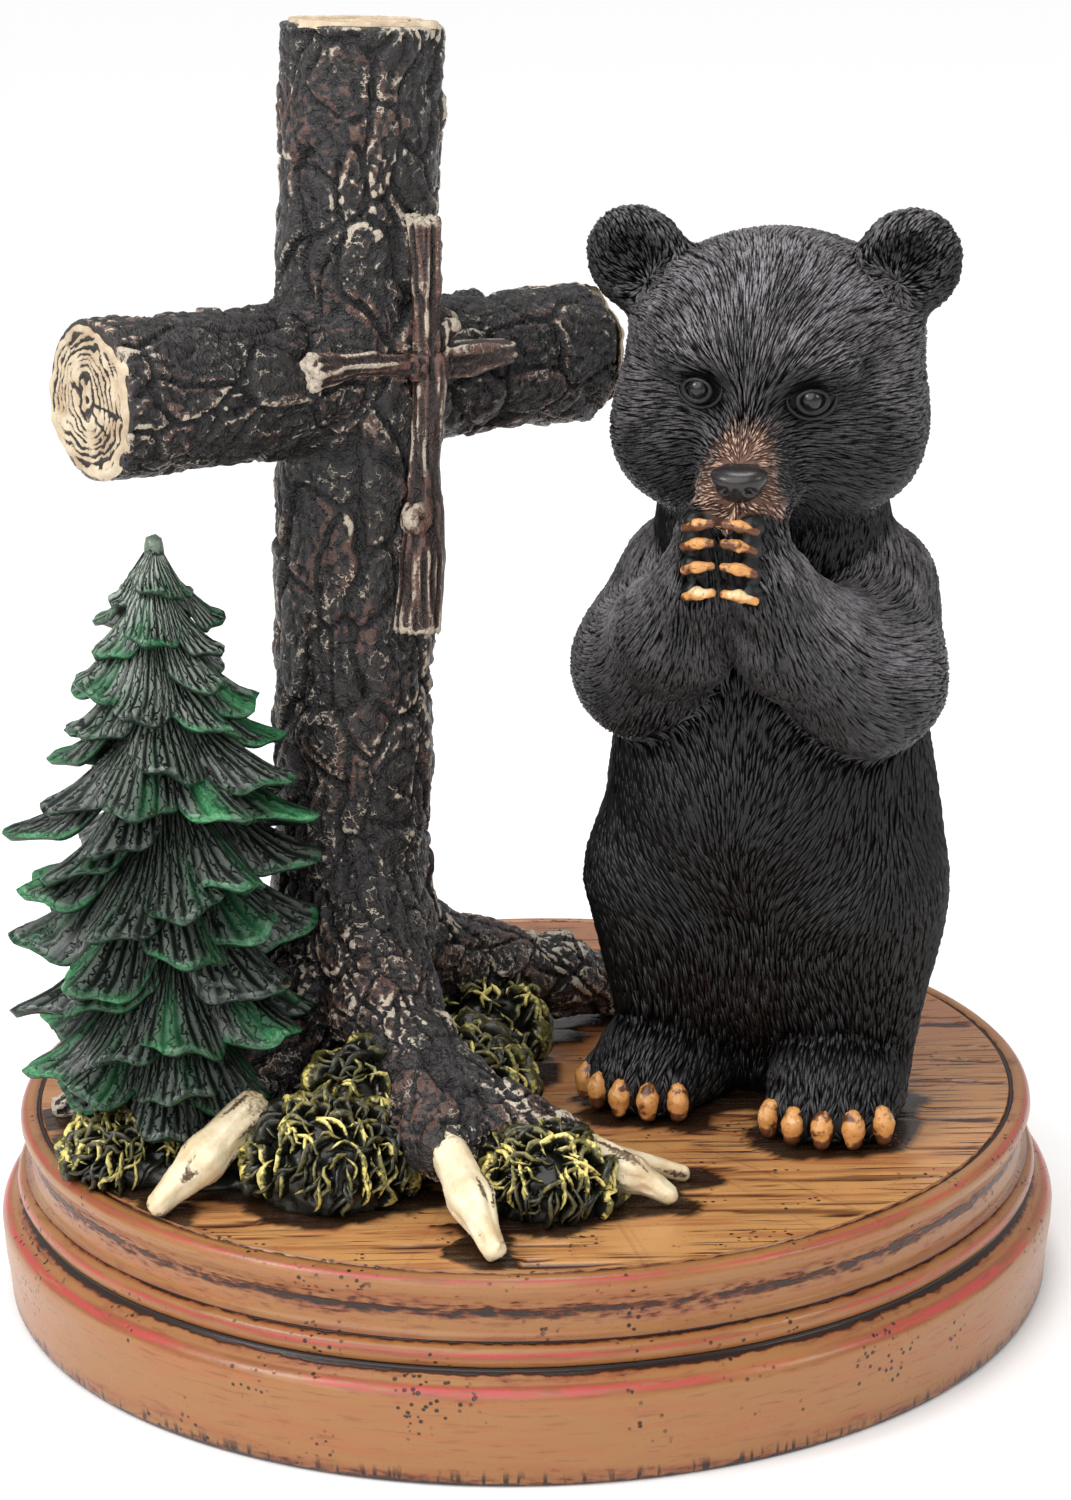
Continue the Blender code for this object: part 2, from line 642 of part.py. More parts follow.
def paw_fingers(side):
    """Each finger of one folded paw as its knuckle, its tip and the end of its claw, from the lowest up."""
    aside = PAW_SHIFT * 126.0
    fingers = []
    for row in range(4):
        rise = 80.6 + 3.9 * row - 0.3 * row * row
        reach = -33.0 + 0.2 * (row - 1.5) ** 2
        knuckle = (aside + side * (6.2 - 0.4 * row), reach + 5.0, rise - 0.4)
        tip = (aside + side * 3.7, reach, rise)
        claw = (aside + side * 0.9, reach - 0.9, rise + 0.3)
        fingers.append((knuckle, tip, claw))
    return fingers


def paw_distance(p, side):
    """The four fingers of one folded paw, their claws laid towards the other paw."""
    mass = ball(p, (PAW_SHIFT * 126.0 + side * 2.3, -29.2, 84.8), (2.4, 3.5, 7.8))
    for knuckle, tip, claw in paw_fingers(side):
        finger = merge(limb(p, knuckle, tip, 2.2, 1.7), limb(p, tip, claw, 1.2, 0.9), 0.5)
        mass = merge(mass, finger, 0.6)
    return mass


def foot_distance(p, aside, reach, spread):
    """One broad foot with five toes and their claws; aside and reach place its middle."""
    middle = np.array([aside, reach, 0.0])
    mass = ball(p, middle + [0, 0, 5.2], (9.6, 12.0, 8.2), spread)
    for toe in range(5):
        angle = spread + (toe - 2) * 0.36
        way = np.array([math.sin(angle), -math.cos(angle), 0.0])
        base = middle + way * np.array([9.4, 10.8, 0.0])
        mass = merge(mass, ball(p, base + [0, 0, 3.6], (2.4, 3.0, 3.8), angle), 1.2)
        claw = limb(p, base + way * 1.8 + [0, 0, 5.0], base + way * 2.5 + [0, 0, 2.0], 1.3, 1.2)
        mass = merge(mass, claw, 0.4)
    return mass


def body_distance(p):
    """The bear below its head."""
    mass = ball(p, (-0.2, 3.0, 32.0), (24.4, 18.5, 25.0))
    mass = merge(mass, ball(p, (0.2, 0.5, 48.5), (22.3, 18.0, 25.0)), 6.0)
    mass = merge(mass, ball(p, (-1.5, 6.0, 7.0), (11.0, 9.0, 9.0)), 3.0)
    mass = merge(mass, ball(p, (0, 1.5, 67.0), (18.5, 15.5, 22.0)), 6.0)
    mass = merge(mass, ball(p, (0.6, 0.0, 85.0), (15.5, 13.0, 12.0)), 6.0)
    for side in (-1, 1):
        mass = merge(mass, limb(p, (side * 12.8, -3.0, 33.0), (side * 11.6 - 0.6, 1.5, 7.0), 12.6, 9.0), 3.0)
    gap = limb(p, (-1.0, -14.5, 0.0), (-0.5, -18.0, 28.5), 6.8, 4.4)
    mass = carve(mass, gap, 2.5)
    mass = merge(mass, ball(p, (0, -6.5, 47.0), (16.0, 13.5, 14.0)), 4.5)
    mass = merge(mass, foot_distance(p, -14.0, -2.8, -0.28), 1.5)
    mass = merge(mass, foot_distance(p, 11.5, -6.0, 0.10), 1.5)
    for side in (-1, 1):
        mass = merge(mass, arm_distance(p, side), 1.6)
    return mass


def bear_distance(points):
    """The bear in its own frame, feet at the origin and facing -Y."""
    p = points / bear_scale()
    head_middle = (HEAD_SHIFT * 126.0, -4.5, HEAD_LIFT * 126.0)
    mass = merge(body_distance(p), head_distance(turned(p, head_middle, HEAD_TURN, HEAD_NOD)), 3.0)
    for side in (-1, 1):
        mass = merge(mass, paw_distance(p, side), 0.8)
    mass = np.maximum(mass, -p[:, 2])
    return mass * bear_scale()


def build_bear(material):
    """The bear, cast in one and stood on the plinth."""
    wide, tall = 0.24 * BEAR_HEIGHT, 1.04 * BEAR_HEIGHT
    points, quads = skin(bear_distance, (-wide, -1.3 * wide, -2), (wide, wide, tall), SKIN_STEP)
    points[:, 2] = np.maximum(points[:, 2], 0.0)
    mesh = cast_mesh("bear", points, quads, BEAR_TRIANGLES)
    thing = add_object("bear", mesh, material, 55.0)
    thing.location = (BEAR_X * MM, BEAR_Y * MM, (PLINTH_HEIGHT + SEAT_GAP) * MM)
    thing.rotation_euler = (0.0, 0.0, BEAR_TURN)
    return thing


def main():
    """Build the four castings."""
    clear_scene()
    build_plinth(paint("plinth_wood", (0.42, 0.22, 0.09), 0.42))
    build_cross(paint("bark", (0.07, 0.05, 0.045), 0.5))
    build_pine(paint("pine_green", (0.03, 0.11, 0.05), 0.45))
    build_bear(paint("bear_black", (0.02, 0.02, 0.021), 0.5))


main()
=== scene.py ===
"""The look of a praying bear figurine: a young bear, a log cross on a rooted stump and a pine on a plinth.

Sizes are in millimetres unless a name says otherwise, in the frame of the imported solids: X runs to the
right, Y away from the front and Z up. A mesh is scaled by MM as it is made. Most forms are distances that
are negative inside them, skinned on a grid and then split, drawn onto the form and carved. Boughs, curls of
moss and strokes of fur are laid out point by point.
"""

import itertools
import logging
import math
from dataclasses import dataclass, field
from enum import Enum
from functools import cache, partial, reduce
from typing import Any, Callable

import bpy
import numpy as np
from mathutils import Matrix, Vector


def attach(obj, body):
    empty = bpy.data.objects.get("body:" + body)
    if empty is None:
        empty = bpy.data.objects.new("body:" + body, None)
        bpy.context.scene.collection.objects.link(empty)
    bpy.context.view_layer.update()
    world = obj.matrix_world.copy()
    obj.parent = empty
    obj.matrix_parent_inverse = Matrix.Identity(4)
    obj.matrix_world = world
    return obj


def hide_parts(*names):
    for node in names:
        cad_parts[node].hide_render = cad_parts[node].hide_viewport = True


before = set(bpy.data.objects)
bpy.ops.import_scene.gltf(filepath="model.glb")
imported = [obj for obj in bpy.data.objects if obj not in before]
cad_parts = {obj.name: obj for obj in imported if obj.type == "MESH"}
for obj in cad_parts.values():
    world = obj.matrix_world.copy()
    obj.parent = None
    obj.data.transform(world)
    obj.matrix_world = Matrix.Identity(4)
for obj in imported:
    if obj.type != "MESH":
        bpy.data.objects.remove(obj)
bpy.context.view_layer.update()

LOG = logging.getLogger("praying_bear")

Array = np.ndarray
Distance = Callable[[Array], Array]
Spot = tuple[float, float, float]
Colour = tuple[float, float, float]
Knots = list[tuple[float, ...]]
Socket = bpy.types.NodeSocket

MM = 0.001
PLATE = 27.4
SEAT_GAP = 0.3
CASTING_GAP = 1.0
SIDES = (-1, 1)
EVEN = (1.0, 1.0, 1.0)


class Slot(Enum):
    """The record's material slots."""

    PLINTH = "plinth_wood_paint"
    BARK = "bark_paint"
    PINE = "pine_paint"
    BEAR = "bear_paint"


# Places and distances.


def spun(points: Array, axis: int, angle: float) -> Array:
    """Turn points about an axis through the origin.

    Args:
        points: Points, one a row.
        axis: The axis's number, from 0 to 2.
        angle: How far they turn, in radians.

    Returns:
        The turned points.
    """
    a, b = (axis + 1) % 3, (axis + 2) % 3
    c, s = math.cos(angle), math.sin(angle)
    made = points.copy()
    made[:, a] = points[:, a] * c - points[:, b] * s
    made[:, b] = points[:, b] * c + points[:, a] * s
    return made


def unit(ways: Any) -> Array:
    """Scale ways to length 1."""
    return ways / np.maximum(np.linalg.norm(ways, axis=-1, keepdims=True), 1e-6)


def far_from(points: Array, spot: Any, stretch: Any = 1.0) -> Array:
    """Measure from points to a spot, each axis scaled by a stretch."""
    return np.linalg.norm((points - np.asarray(spot, float)) * stretch, axis=1)


def ball(points: Array, centre: Any, radii: Any, turn: float = 0.0, tip: float = 0.0) -> Array:
    """Measure to an ellipsoid.

    Args:
        points: Points, one a row.
        centre: The ellipsoid's middle.
        radii: Its three radii.
        turn: Its turn about Z, in radians.
        tip: How far it is then tipped about its own Y, in radians.

    Returns:
        The distance at each point.
    """
    local = points - np.asarray(centre, float)
    if turn:
        local = spun(local, 2, -turn)
    if tip:
        local = spun(local, 1, -tip)
    radii = np.asarray(radii, float)
    near = np.linalg.norm(local / radii, axis=1)
    slope_there = np.maximum(np.linalg.norm(local / radii**2, axis=1), 1e-6)
    return near * (near - 1.0) / slope_there


def limb(points: Array, start: Any, end: Any, start_radius: float, end_radius: float) -> Array:
    """Measure to a round limb that tapers from one ball to another.

    Args:
        points: Points, one a row.
        start: The first ball's middle.
        end: The last ball's middle.
        start_radius: The first ball's radius.
        end_radius: The last ball's radius.

    Returns:
        The distance at each point.
    """
    start, end = np.asarray(start, float), np.asarray(end, float)
    run = end - start
    share = np.clip((points - start) @ run / (run @ run), 0.0, 1.0)
    radius = start_radius + (end_radius - start_radius) * share
    return np.linalg.norm(points - start - share[:, None] * run, axis=1) - radius


def sawn_log(points: Array, start: Any, end: Any, radius: float, soften: float = 0.8) -> Array:
    """Measure to a round log sawn square at both ends.

    Args:
        points: Points, one a row.
        start: The middle of its first end.
        end: The middle of its last end.
        radius: Its radius.
        soften: How far its edges are rounded.

    Returns:
        The distance at each point.
    """
    start, end = np.asarray(start, float), np.asarray(end, float)
    run = end - start
    length = np.linalg.norm(run)
    along = (points - start) @ run / length
    across = np.linalg.norm(points - start - along[:, None] * run / length, axis=1) - radius
    return overlap(across, np.maximum(-along, along - length), soften)


def merge(first: Array, second: Array, width: float) -> Array:
    """Join two masses, blended over a width."""
    blend = np.maximum(width - np.abs(first - second), 0.0)
    return np.minimum(first, second) - blend * blend / (4.0 * width)


def overlap(first: Array, second: Array, width: float) -> Array:
    """Keep what two masses share, with its edge rounded over a width."""
    return -merge(-first, -second, width)


def carve(mass: Array, tool: Array, width: float) -> Array:
    """Carve a tool's shape out of a mass, its edge blended over a width."""
    return overlap(mass, -tool, width)


def heaped(mass: Array, *parts: tuple[Array, float]) -> Array:
    """Join parts to a mass in order, each with the width over which it blends."""
    return reduce(lambda heap, part: merge(heap, *part), parts, mass)


def chain(points: Array, knots: Knots, width: float) -> Array:
    """Measure to round limbs that follow knots.

    Args:
        points: Points, one a row.
        knots: The knots, as (x, y, z, radius).
        width: The width over which the limbs blend.

    Returns:
        The distance at each point.
    """
    limbs = [limb(points, a[:3], b[:3], a[3], b[3]) for a, b in zip(knots, knots[1:])]
    return reduce(lambda first, second: merge(first, second, width), limbs)


def ramp(value: Array, low: float, high: float) -> Array:
    """Rise smoothly from 0 at low to 1 at high."""
    share = np.clip((value - low) / (high - low), 0.0, 1.0)
    return share * share * (3.0 - 2.0 * share)


def nearest(gaps: Array, width: float) -> Array:
    """Weigh distances, in columns, by how near each is to its row's least, within a width."""
    return np.exp(-(gaps - gaps.min(1, keepdims=True)) / width)


# Noise.


def scrambled(cells: Array, salt: int) -> Array:
    """Give each whole-number cell an even number.

    Args:
        cells: Whole numbers, three to a cell in the last axis.
        salt: Picks one of many patterns.

    Returns:
        A number from 0 to 1 for each cell.
    """
    mixed = (cells[..., 0] * 73856093) ^ (cells[..., 1] * 19349663) ^ (cells[..., 2] * 83492791)
    mixed ^= salt * 2971215073
    for shift, factor in ((15, 2246822519), (13, 3266489917)):
        mixed &= 0xFFFFFFFF
        mixed = ((mixed ^ (mixed >> shift)) * factor) & 0xFFFFFFFF
    return (mixed ^ (mixed >> 16)) / 0xFFFFFFFF


def soft_noise(points: Array, salt: int = 0) -> Array:
    """Give smooth noise that changes over about one unit.

    Args:
        points: Points, one a row.
        salt: Picks one of many patterns.

    Returns:
        A number from -1 to 1 at each point.
    """
    base = np.floor(points).astype(np.int64)
    part = points - base
    part = part * part * (3.0 - 2.0 * part)
    total = np.zeros(len(points))
    for corner in itertools.product((0, 1), repeat=3):
        weight = np.prod(np.where(np.array(corner) == 1, part, 1.0 - part), axis=1)
        total += weight * scrambled(base + np.array(corner), salt)
    return 2.0 * total - 1.0


def fractal(points: Array, octaves: int, salt: int = 0) -> Array:
    """Add smooth noise of ever finer scale."""
    return sum(soft_noise(points * 2.03**n, salt + 7 * n) * 0.5**n for n in range(octaves))


def drift(points: Array, salt: int) -> Array:
    """Give three smooth numbers from -1 to 1 at each point."""
    return np.stack([soft_noise(points, salt + n) for n in range(3)], 1)


def plates(points: Array, salt: int) -> tuple[Array, Array, Array]:
    """Part space into plates about one unit across.

    Args:
        points: Points, one a row.
        salt: Picks one of many patterns.

    Returns:
        How far each point is inside its plate's edge, its plate's own number from 0 to 1, and how high it
        stands on its plate's slant, from about -1 to 1.
    """
    base = np.floor(points).astype(np.int64)
    first = np.full(len(points), np.inf)
    second = np.full(len(points), np.inf)
    cell_number = np.zeros(len(points))
    slant = np.zeros(len(points))
    for step in itertools.product((-1, 0, 1), repeat=3):
        cell = base + np.array(step)
        middle = cell + np.stack([scrambled(cell, salt + n) for n in range(3)], 1)
        offset = points - middle
        distance = np.linalg.norm(offset, axis=1)
        closer = distance < first
        second = np.where(closer, first, np.minimum(second, distance))
        number = scrambled(cell, salt + 5)
        way = np.stack([np.cos(number * 40.0), np.sin(number * 40.0), np.cos(number * 97.0)], 1)
        cell_number = np.where(closer, number, cell_number)
        slant = np.where(closer, (offset * way).sum(1), slant)
        first = np.where(closer, distance, first)
    return second - first, cell_number, slant


# Skins.


@dataclass
class Skin:
    """A surface: its points, its faces of three or four corners each, and a number at each point per mark."""

    points: Array
    faces: Array
    marks: dict[str, Array] = field(default_factory=dict)

    def sides(self) -> Array:
        """List every face's sides as two points in order, the first side of each face first."""
        ends = zip(self.faces.T, np.roll(self.faces, -1, 1).T)
        return np.sort(np.concatenate([np.stack(pair, 1) for pair in ends]), 1)

    def normals(self) -> Array:
        """Find the way out of the surface.

        Returns:
            A way of length 1 at each point.
        """
        corners = self.points[self.faces]
        facing = np.cross(corners[:, 2] - corners[:, 0], corners[:, -1] - corners[:, 1])
        count = len(self.points)
        return unit(np.stack([
            sum(np.bincount(corner, facing[:, a], count) for corner in self.faces.T) for a in range(3)
        ], 1))

    def softened(self, times: int) -> Array:
        """Average each point with its neighbours.

        Args:
            times: How often.

        Returns:
            The new places, with the surface itself left as it is.
        """
        first, last = np.unique(self.sides(), axis=0).T
        size = len(self.points)
        count = np.bincount(first, minlength=size) + np.bincount(last, minlength=size) + 1.0
        points = self.points
        for _ in range(times):
            total = np.stack([
                np.bincount(first, points[last, a], size) + np.bincount(last, points[first, a], size)
                for a in range(3)
            ], 1)
            points = (total + points) / count[:, None]
        return points

    def standing_out(self, times: int) -> Array:
        """Measure how far each point stands out of the surface around it."""
        return ((self.points - self.softened(times)) * self.normals()).sum(1)

    def split(self) -> "Skin":
        """Split each four-cornered face into four.

        Returns:
            The finer surface, without marks.
        """
        count = len(self.points)
        pairs = self.sides()
        found, back = np.unique(pairs[:, 0] * count + pairs[:, 1], return_inverse=True)
        halves = (self.points[found // count] + self.points[found % count]) / 2.0
        middles = self.points[self.faces].mean(1)
        half = (back.reshape(4, -1) + count).T
        middle = np.arange(len(self.faces)) + count + len(found)
        parts = [np.stack([self.faces[:, n], half[:, n], middle, half[:, n - 1]], 1) for n in range(4)]
        return Skin(np.concatenate([self.points, halves, middles]), np.concatenate(parts))

    def only(self, wanted: Array) -> "Skin":
        """Keep some faces and the points they use.

        Args:
            wanted: Which faces to keep.

        Returns:
            The part that is kept.
        """
        faces = self.faces[wanted]
        used, back = np.unique(faces, return_inverse=True)
        marks = {name: values[used] for name, values in self.marks.items()}
        return Skin(self.points[used], back.reshape(faces.shape), marks)

    def lift(self, normals: Array, height: Array) -> None:
        """Move the points out along their normals by a height each."""
        self.points = self.points + normals * height[:, None]


def gathered(skins: list[Skin]) -> Skin:
    """Put surfaces together, in order.

    Args:
        skins: Surfaces whose marks and numbers of corners are the same.

    Returns:
        All of them as one surface.
    """
    starts = itertools.accumulate((len(skin.points) for skin in skins), initial=0)
    faces = np.concatenate([skin.faces + start for skin, start in zip(skins, starts)])
    marks = {name: np.concatenate([skin.marks[name] for skin in skins]) for name in skins[0].marks}
    return Skin(np.concatenate([skin.points for skin in skins]), faces, marks)


def slope(distance: Distance, points: Array, reach: float = 0.05) -> Array:
    """Give the way in which a distance grows at each point."""
    steps = reach * np.eye(3)
    return np.stack([distance(points + step) - distance(points - step) for step in steps], 1) / (2.0 * reach)


def drawn_on(distance: Distance, points: Array, most: float, times: int = 1) -> Array:
    """Move points along the slope of a distance onto its zero surface.

    Args:
        distance: Measures at points.
        points: Points near the surface, one a row.
        most: The furthest that a point moves at a time.
        times: How often they move.

    Returns:
        The moved points.
    """
    for _ in range(times):
        way = slope(distance, points)
        move = -way * (distance(points) / np.maximum((way * way).sum(1), 0.05))[:, None]
        points = points + move / np.maximum(np.linalg.norm(move, axis=1) / most, 1.0)[:, None]
    return points


def filled_out(inside: Array) -> Array:
    """Fill cells of a grid until filled ones meet only across faces, so that their skin never pinches.

    Args:
        inside: Which cells are filled.

    Returns:
        Which cells are filled in the end.
    """
    inside = inside.copy()
    while True:
        before = inside.sum()
        for first, second in ((0, 1), (0, 2), (1, 2)):
            corners = []
            for i, j in itertools.product((0, 1), repeat=2):
                index = [slice(None)] * 3
                index[first], index[second] = slice(i, i - 1 or None), slice(j, j - 1 or None)
                corners.append(tuple(index))
            a, b, c, d = (inside[corner] for corner in corners)
            crossed = (a & d & ~b & ~c) | (b & c & ~a & ~d)
            for corner in corners:
                inside[corner] |= crossed
        if inside.sum() == before:
            return inside


def skinned(distance: Distance, low: Any, high: Any, step: float, splits: int = 0) -> Skin:
    """Skin the zero surface of a distance.

    Args:
        distance: The distance to the form.
        low: The lowest corner of a box around it.
        high: The highest corner.
        step: The grid's step.
        splits: How often each face is then split into four and drawn onto the form again.

    Returns:
        The form's surface in four-cornered faces.
    """
    sides = [np.arange(a, b + step, step) for a, b in zip(low, high)]
    grid = np.stack(np.meshgrid(*sides, indexing="ij"), -1)
    inside = filled_out((distance(grid.reshape(-1, 3)) < 0).reshape(grid.shape[:3]))
    corners = [inside[i : i - 1 or None, j : j - 1 or None, k : k - 1 or None]
               for i, j, k in itertools.product((0, 1), repeat=3)]
    filled = sum(corner.astype(int) for corner in corners)
    crossed = (filled > 0) & (filled < 8)
    number = np.full(crossed.shape, -1)
    number[crossed] = np.arange(crossed.sum())
    quads = []
    for axis in range(3):
        change = inside != np.roll(inside, -1, axis)
        others = [a for a in range(3) if a != axis]
        for a, size in enumerate(change.shape):
            index = [slice(None)] * 3
            index[a] = size - 1
            change[tuple(index)] = False
            if a != axis:
                index[a] = 0
                change[tuple(index)] = False
        at = np.argwhere(change)
        ring = []
        for first, second in ((-1, -1), (0, -1), (0, 0), (-1, 0)):
            cell = at.copy()
            cell[:, others[0]] += first
            cell[:, others[1]] += second
            ring.append(number[tuple(cell.T)])
        ring = np.stack(ring, 1)
        outward = inside[tuple(at.T)] ^ (axis == 1)
        ring[~outward] = ring[~outward][:, ::-1]
        quads.append(ring)
    made = Skin(drawn_on(distance, grid[:-1, :-1, :-1][crossed] + step / 2, step, 3), np.concatenate(quads))
    for _ in range(splits):
        made = made.split()
        made.points = drawn_on(distance, made.points, step, 1)
    return made


def lattice(rows: int, columns: int, wrap: bool = False) -> Array:
    """List the faces of a grid of points.

    Args:
        rows: How many rows of points follow each other.
        columns: How many points a row has.
        wrap: Whether each row closes on itself.

    Returns:
        The faces, of four corners each.
    """
    row, column = np.meshgrid(np.arange(rows - 1), np.arange(columns if wrap else columns - 1), indexing="ij")
    here, below = row * columns, (row + 1) * columns
    after = (column + 1) % columns
    return np.stack([here + column, here + after, below + after, below + column], -1).reshape(-1, 4)


def turned_skin(profile: Array, sides: int, names: tuple[str, ...] = ()) -> Skin:
    """Turn a profile about Z.

    Args:
        profile: Rows of (radius, height, marks), from the inside of the top down the outside.
        sides: How many faces go round.
        names: The marks' names.

    Returns:
        The turned surface.
    """
    angles = 2.0 * math.pi * np.arange(sides) / sides
    radius, height = profile[:, 0][:, None], profile[:, 1][:, None]
    rings = [radius * np.cos(angles), radius * np.sin(angles), height + 0.0 * angles]
    faces = np.roll(lattice(len(profile), sides, True)[:, ::-1], 1, 1)
    marks = {name: np.repeat(profile[:, 2 + n], sides) for n, name in enumerate(names)}
    return Skin(np.stack(rings, -1).reshape(-1, 3), faces, marks)


# Shading.


class Wiring:
    """The nodes and links of one shader tree, added a step at a time."""

    def __init__(self, tree: bpy.types.NodeTree) -> None:
        """Take the tree to add to."""
        self.tree = tree

    def feed(self, socket: Socket, value: Any) -> None:
        """Link an output to a socket, or set the socket.

        Args:
            socket: An input.
            value: An output, a number, a colour or three numbers.
        """
        if isinstance(value, bpy.types.NodeSocket):
            self.tree.links.new(value, socket)
        elif isinstance(value, tuple) and len(value) == 3 and socket.type == "RGBA":
            socket.default_value = (*value, 1.0)
        else:
            socket.default_value = value

    def add(self, kind: str, feeds: dict[Any, Any] | None = None, **settings: Any) -> bpy.types.Node:
        """Add a node.

        Args:
            kind: Its Blender type.
            feeds: What each of its inputs, by name or number, is set or linked to.
            settings: Its own properties.

        Returns:
            The node.
        """
        node = self.tree.nodes.new(kind)
        for name, value in settings.items():
            setattr(node, name, value)
        for socket, value in (feeds or {}).items():
            self.feed(node.inputs[socket], value)
        return node

    def place(self, stretch: Spot = EVEN) -> Socket:
        """Give the point on the object in millimetres.

        Args:
            stretch: What each axis is scaled by.

        Returns:
            The scaled point.
        """
        spot = self.add("ShaderNodeTexCoord").outputs["Object"]
        scale = tuple(1000.0 * s for s in stretch)
        return self.add("ShaderNodeMapping", {"Vector": spot, "Scale": scale}).outputs[0]

    def axes(self) -> dict[str, Socket]:
        """Give the point's own X, Y and Z in millimetres."""
        return self.add("ShaderNodeSeparateXYZ", {"Vector": self.place()}).outputs

    def noise(self, scale: Any, detail: float = 3.0, stretch: Spot = EVEN, roughness: float = 0.55,
              spot: Socket | None = None) -> Socket:
        """Give noise from 0 to 1.

        Args:
            scale: How many features a millimetre has.
            detail: How many finer layers it has.
            stretch: How much more often it changes along each axis.
            roughness: How strong the finer layers are.
            spot: Where it is read, if not at the point on the object.

        Returns:
            The noise.
        """
        feeds = {"Vector": spot or self.place(stretch), "Scale": scale, "Detail": detail}
        return self.add("ShaderNodeTexNoise", {**feeds, "Roughness": roughness}).outputs[0]

    def mark(self, name: str) -> Socket:
        """Read a number that the mesh carries at each point."""
        return self.add("ShaderNodeAttribute", attribute_name=name).outputs["Fac"]

    def math(self, operation: str, *values: Any) -> Socket:
        """Reckon with one to three numbers."""
        return self.add("ShaderNodeMath", dict(enumerate(values)), operation=operation).outputs[0]

    def times(self, *values: Any) -> Socket:
        """Multiply numbers."""
        return reduce(lambda first, second: self.math("MULTIPLY", first, second), values)

    def plus(self, *values: Any) -> Socket:
        """Add numbers."""
        return reduce(lambda first, second: self.math("ADD", first, second), values)

    def most(self, *values: Any) -> Socket:
        """Keep the greatest of some numbers."""
        return reduce(lambda first, second: self.math("MAXIMUM", first, second), values)

    def swing(self, value: Any, width: float = 1.0) -> Socket:
        """Centre a number from 0 to 1 on zero and scale it to a width."""
        centred = self.math("SUBTRACT", value, 0.5)
        return centred if width == 1.0 else self.times(centred, width)

    def rise(self, value: Any, low: float, high: float) -> Socket:
        """Rise smoothly from 0 at low to 1 at high."""
        feeds = {"Value": value, "From Min": low, "From Max": high}
        return self.add("ShaderNodeMapRange", feeds, interpolation_type="SMOOTHSTEP").outputs[0]

    def mix(self, share: Any, first: Any, second: Any) -> Socket:
        """Blend two colours by a share."""
        return self.add("ShaderNodeMix", {0: share, 6: first, 7: second}, data_type="RGBA").outputs[2]

    def level(self, share: Any, first: float, second: float) -> Socket:
        """Blend two numbers by a share."""
        return self.add("ShaderNodeMix", {0: share, 2: first, 3: second}).outputs[0]

    def bump(self, height: Any, depth: float) -> Socket:
        """Turn a height from 0 to 1 into a normal, its full height a depth in millimetres."""
        return self.add("ShaderNodeBump", {"Height": height, "Distance": depth * MM}).outputs[0]


class Effect(Wiring):
    """A shader node group under construction."""

    def __init__(self, name: str, takes: dict[str, float], gives: tuple[str, ...]) -> None:
        """Start a group.

        Args:
            name: The group's name.
            takes: Its inputs and their first values, all numbers.
            gives: Its outputs, all numbers.
        """
        super().__init__(bpy.data.node_groups.new(name, "ShaderNodeTree"))
        for title, value in takes.items():
            socket = self.tree.interface.new_socket(title, in_out="INPUT", socket_type="NodeSocketFloat")
            socket.default_value = value
        for title in gives:
            self.tree.interface.new_socket(title, in_out="OUTPUT", socket_type="NodeSocketFloat")
        self.given = self.tree.nodes.new("NodeGroupInput").outputs
        self.result = self.tree.nodes.new("NodeGroupOutput").inputs


@cache
def dry_brush_effect() -> bpy.types.NodeTree:
    """Build the mask of a brush dragged over raised edges, broken into flecks, once.

    Returns:
        The group.
    """
    takes = {"Raised": 0.0, "Least": 0.1, "Full": 0.3, "Fleck Scale": 1.0, "Patch Scale": 0.06, "Cover": 0.5}
    group = Effect("dry_brush", takes, ("Mask",))
    given = group.given
    fleck = group.noise(given["Fleck Scale"], 3.0, roughness=0.6)
    patch = group.noise(given["Patch Scale"], 2.0, roughness=0.5)
    feeds = {"Value": given["Raised"], "From Min": given["Least"], "From Max": given["Full"]}
    edge = group.add("ShaderNodeMapRange", feeds).outputs[0]
    cover = group.plus(group.swing(patch), given["Cover"])
    strength = group.times(edge, group.rise(cover, 0.3, 0.7))
    broken = group.rise(group.plus(strength, group.times(fleck, 0.9)), 0.72, 1.02)
    group.feed(group.result["Mask"], group.times(broken, group.rise(edge, 0.02, 0.3)))
    return group.tree


@cache
def brushed_effect() -> bpy.types.NodeTree:
    """Build the unevenness of hand-laid paint, a slow tone and a fine grain, once.

    Returns:
        The group.
    """
    group = Effect("brushed", {"Tone Scale": 0.05, "Grain Scale": 2.0}, ("Tone", "Grain"))
    tone = group.noise(group.given["Tone Scale"], 4.0, roughness=0.6)
    group.feed(group.result["Tone"], group.rise(tone, 0.3, 0.7))
    group.feed(group.result["Grain"], group.noise(group.given["Grain Scale"], 3.0, roughness=0.6))
    return group.tree


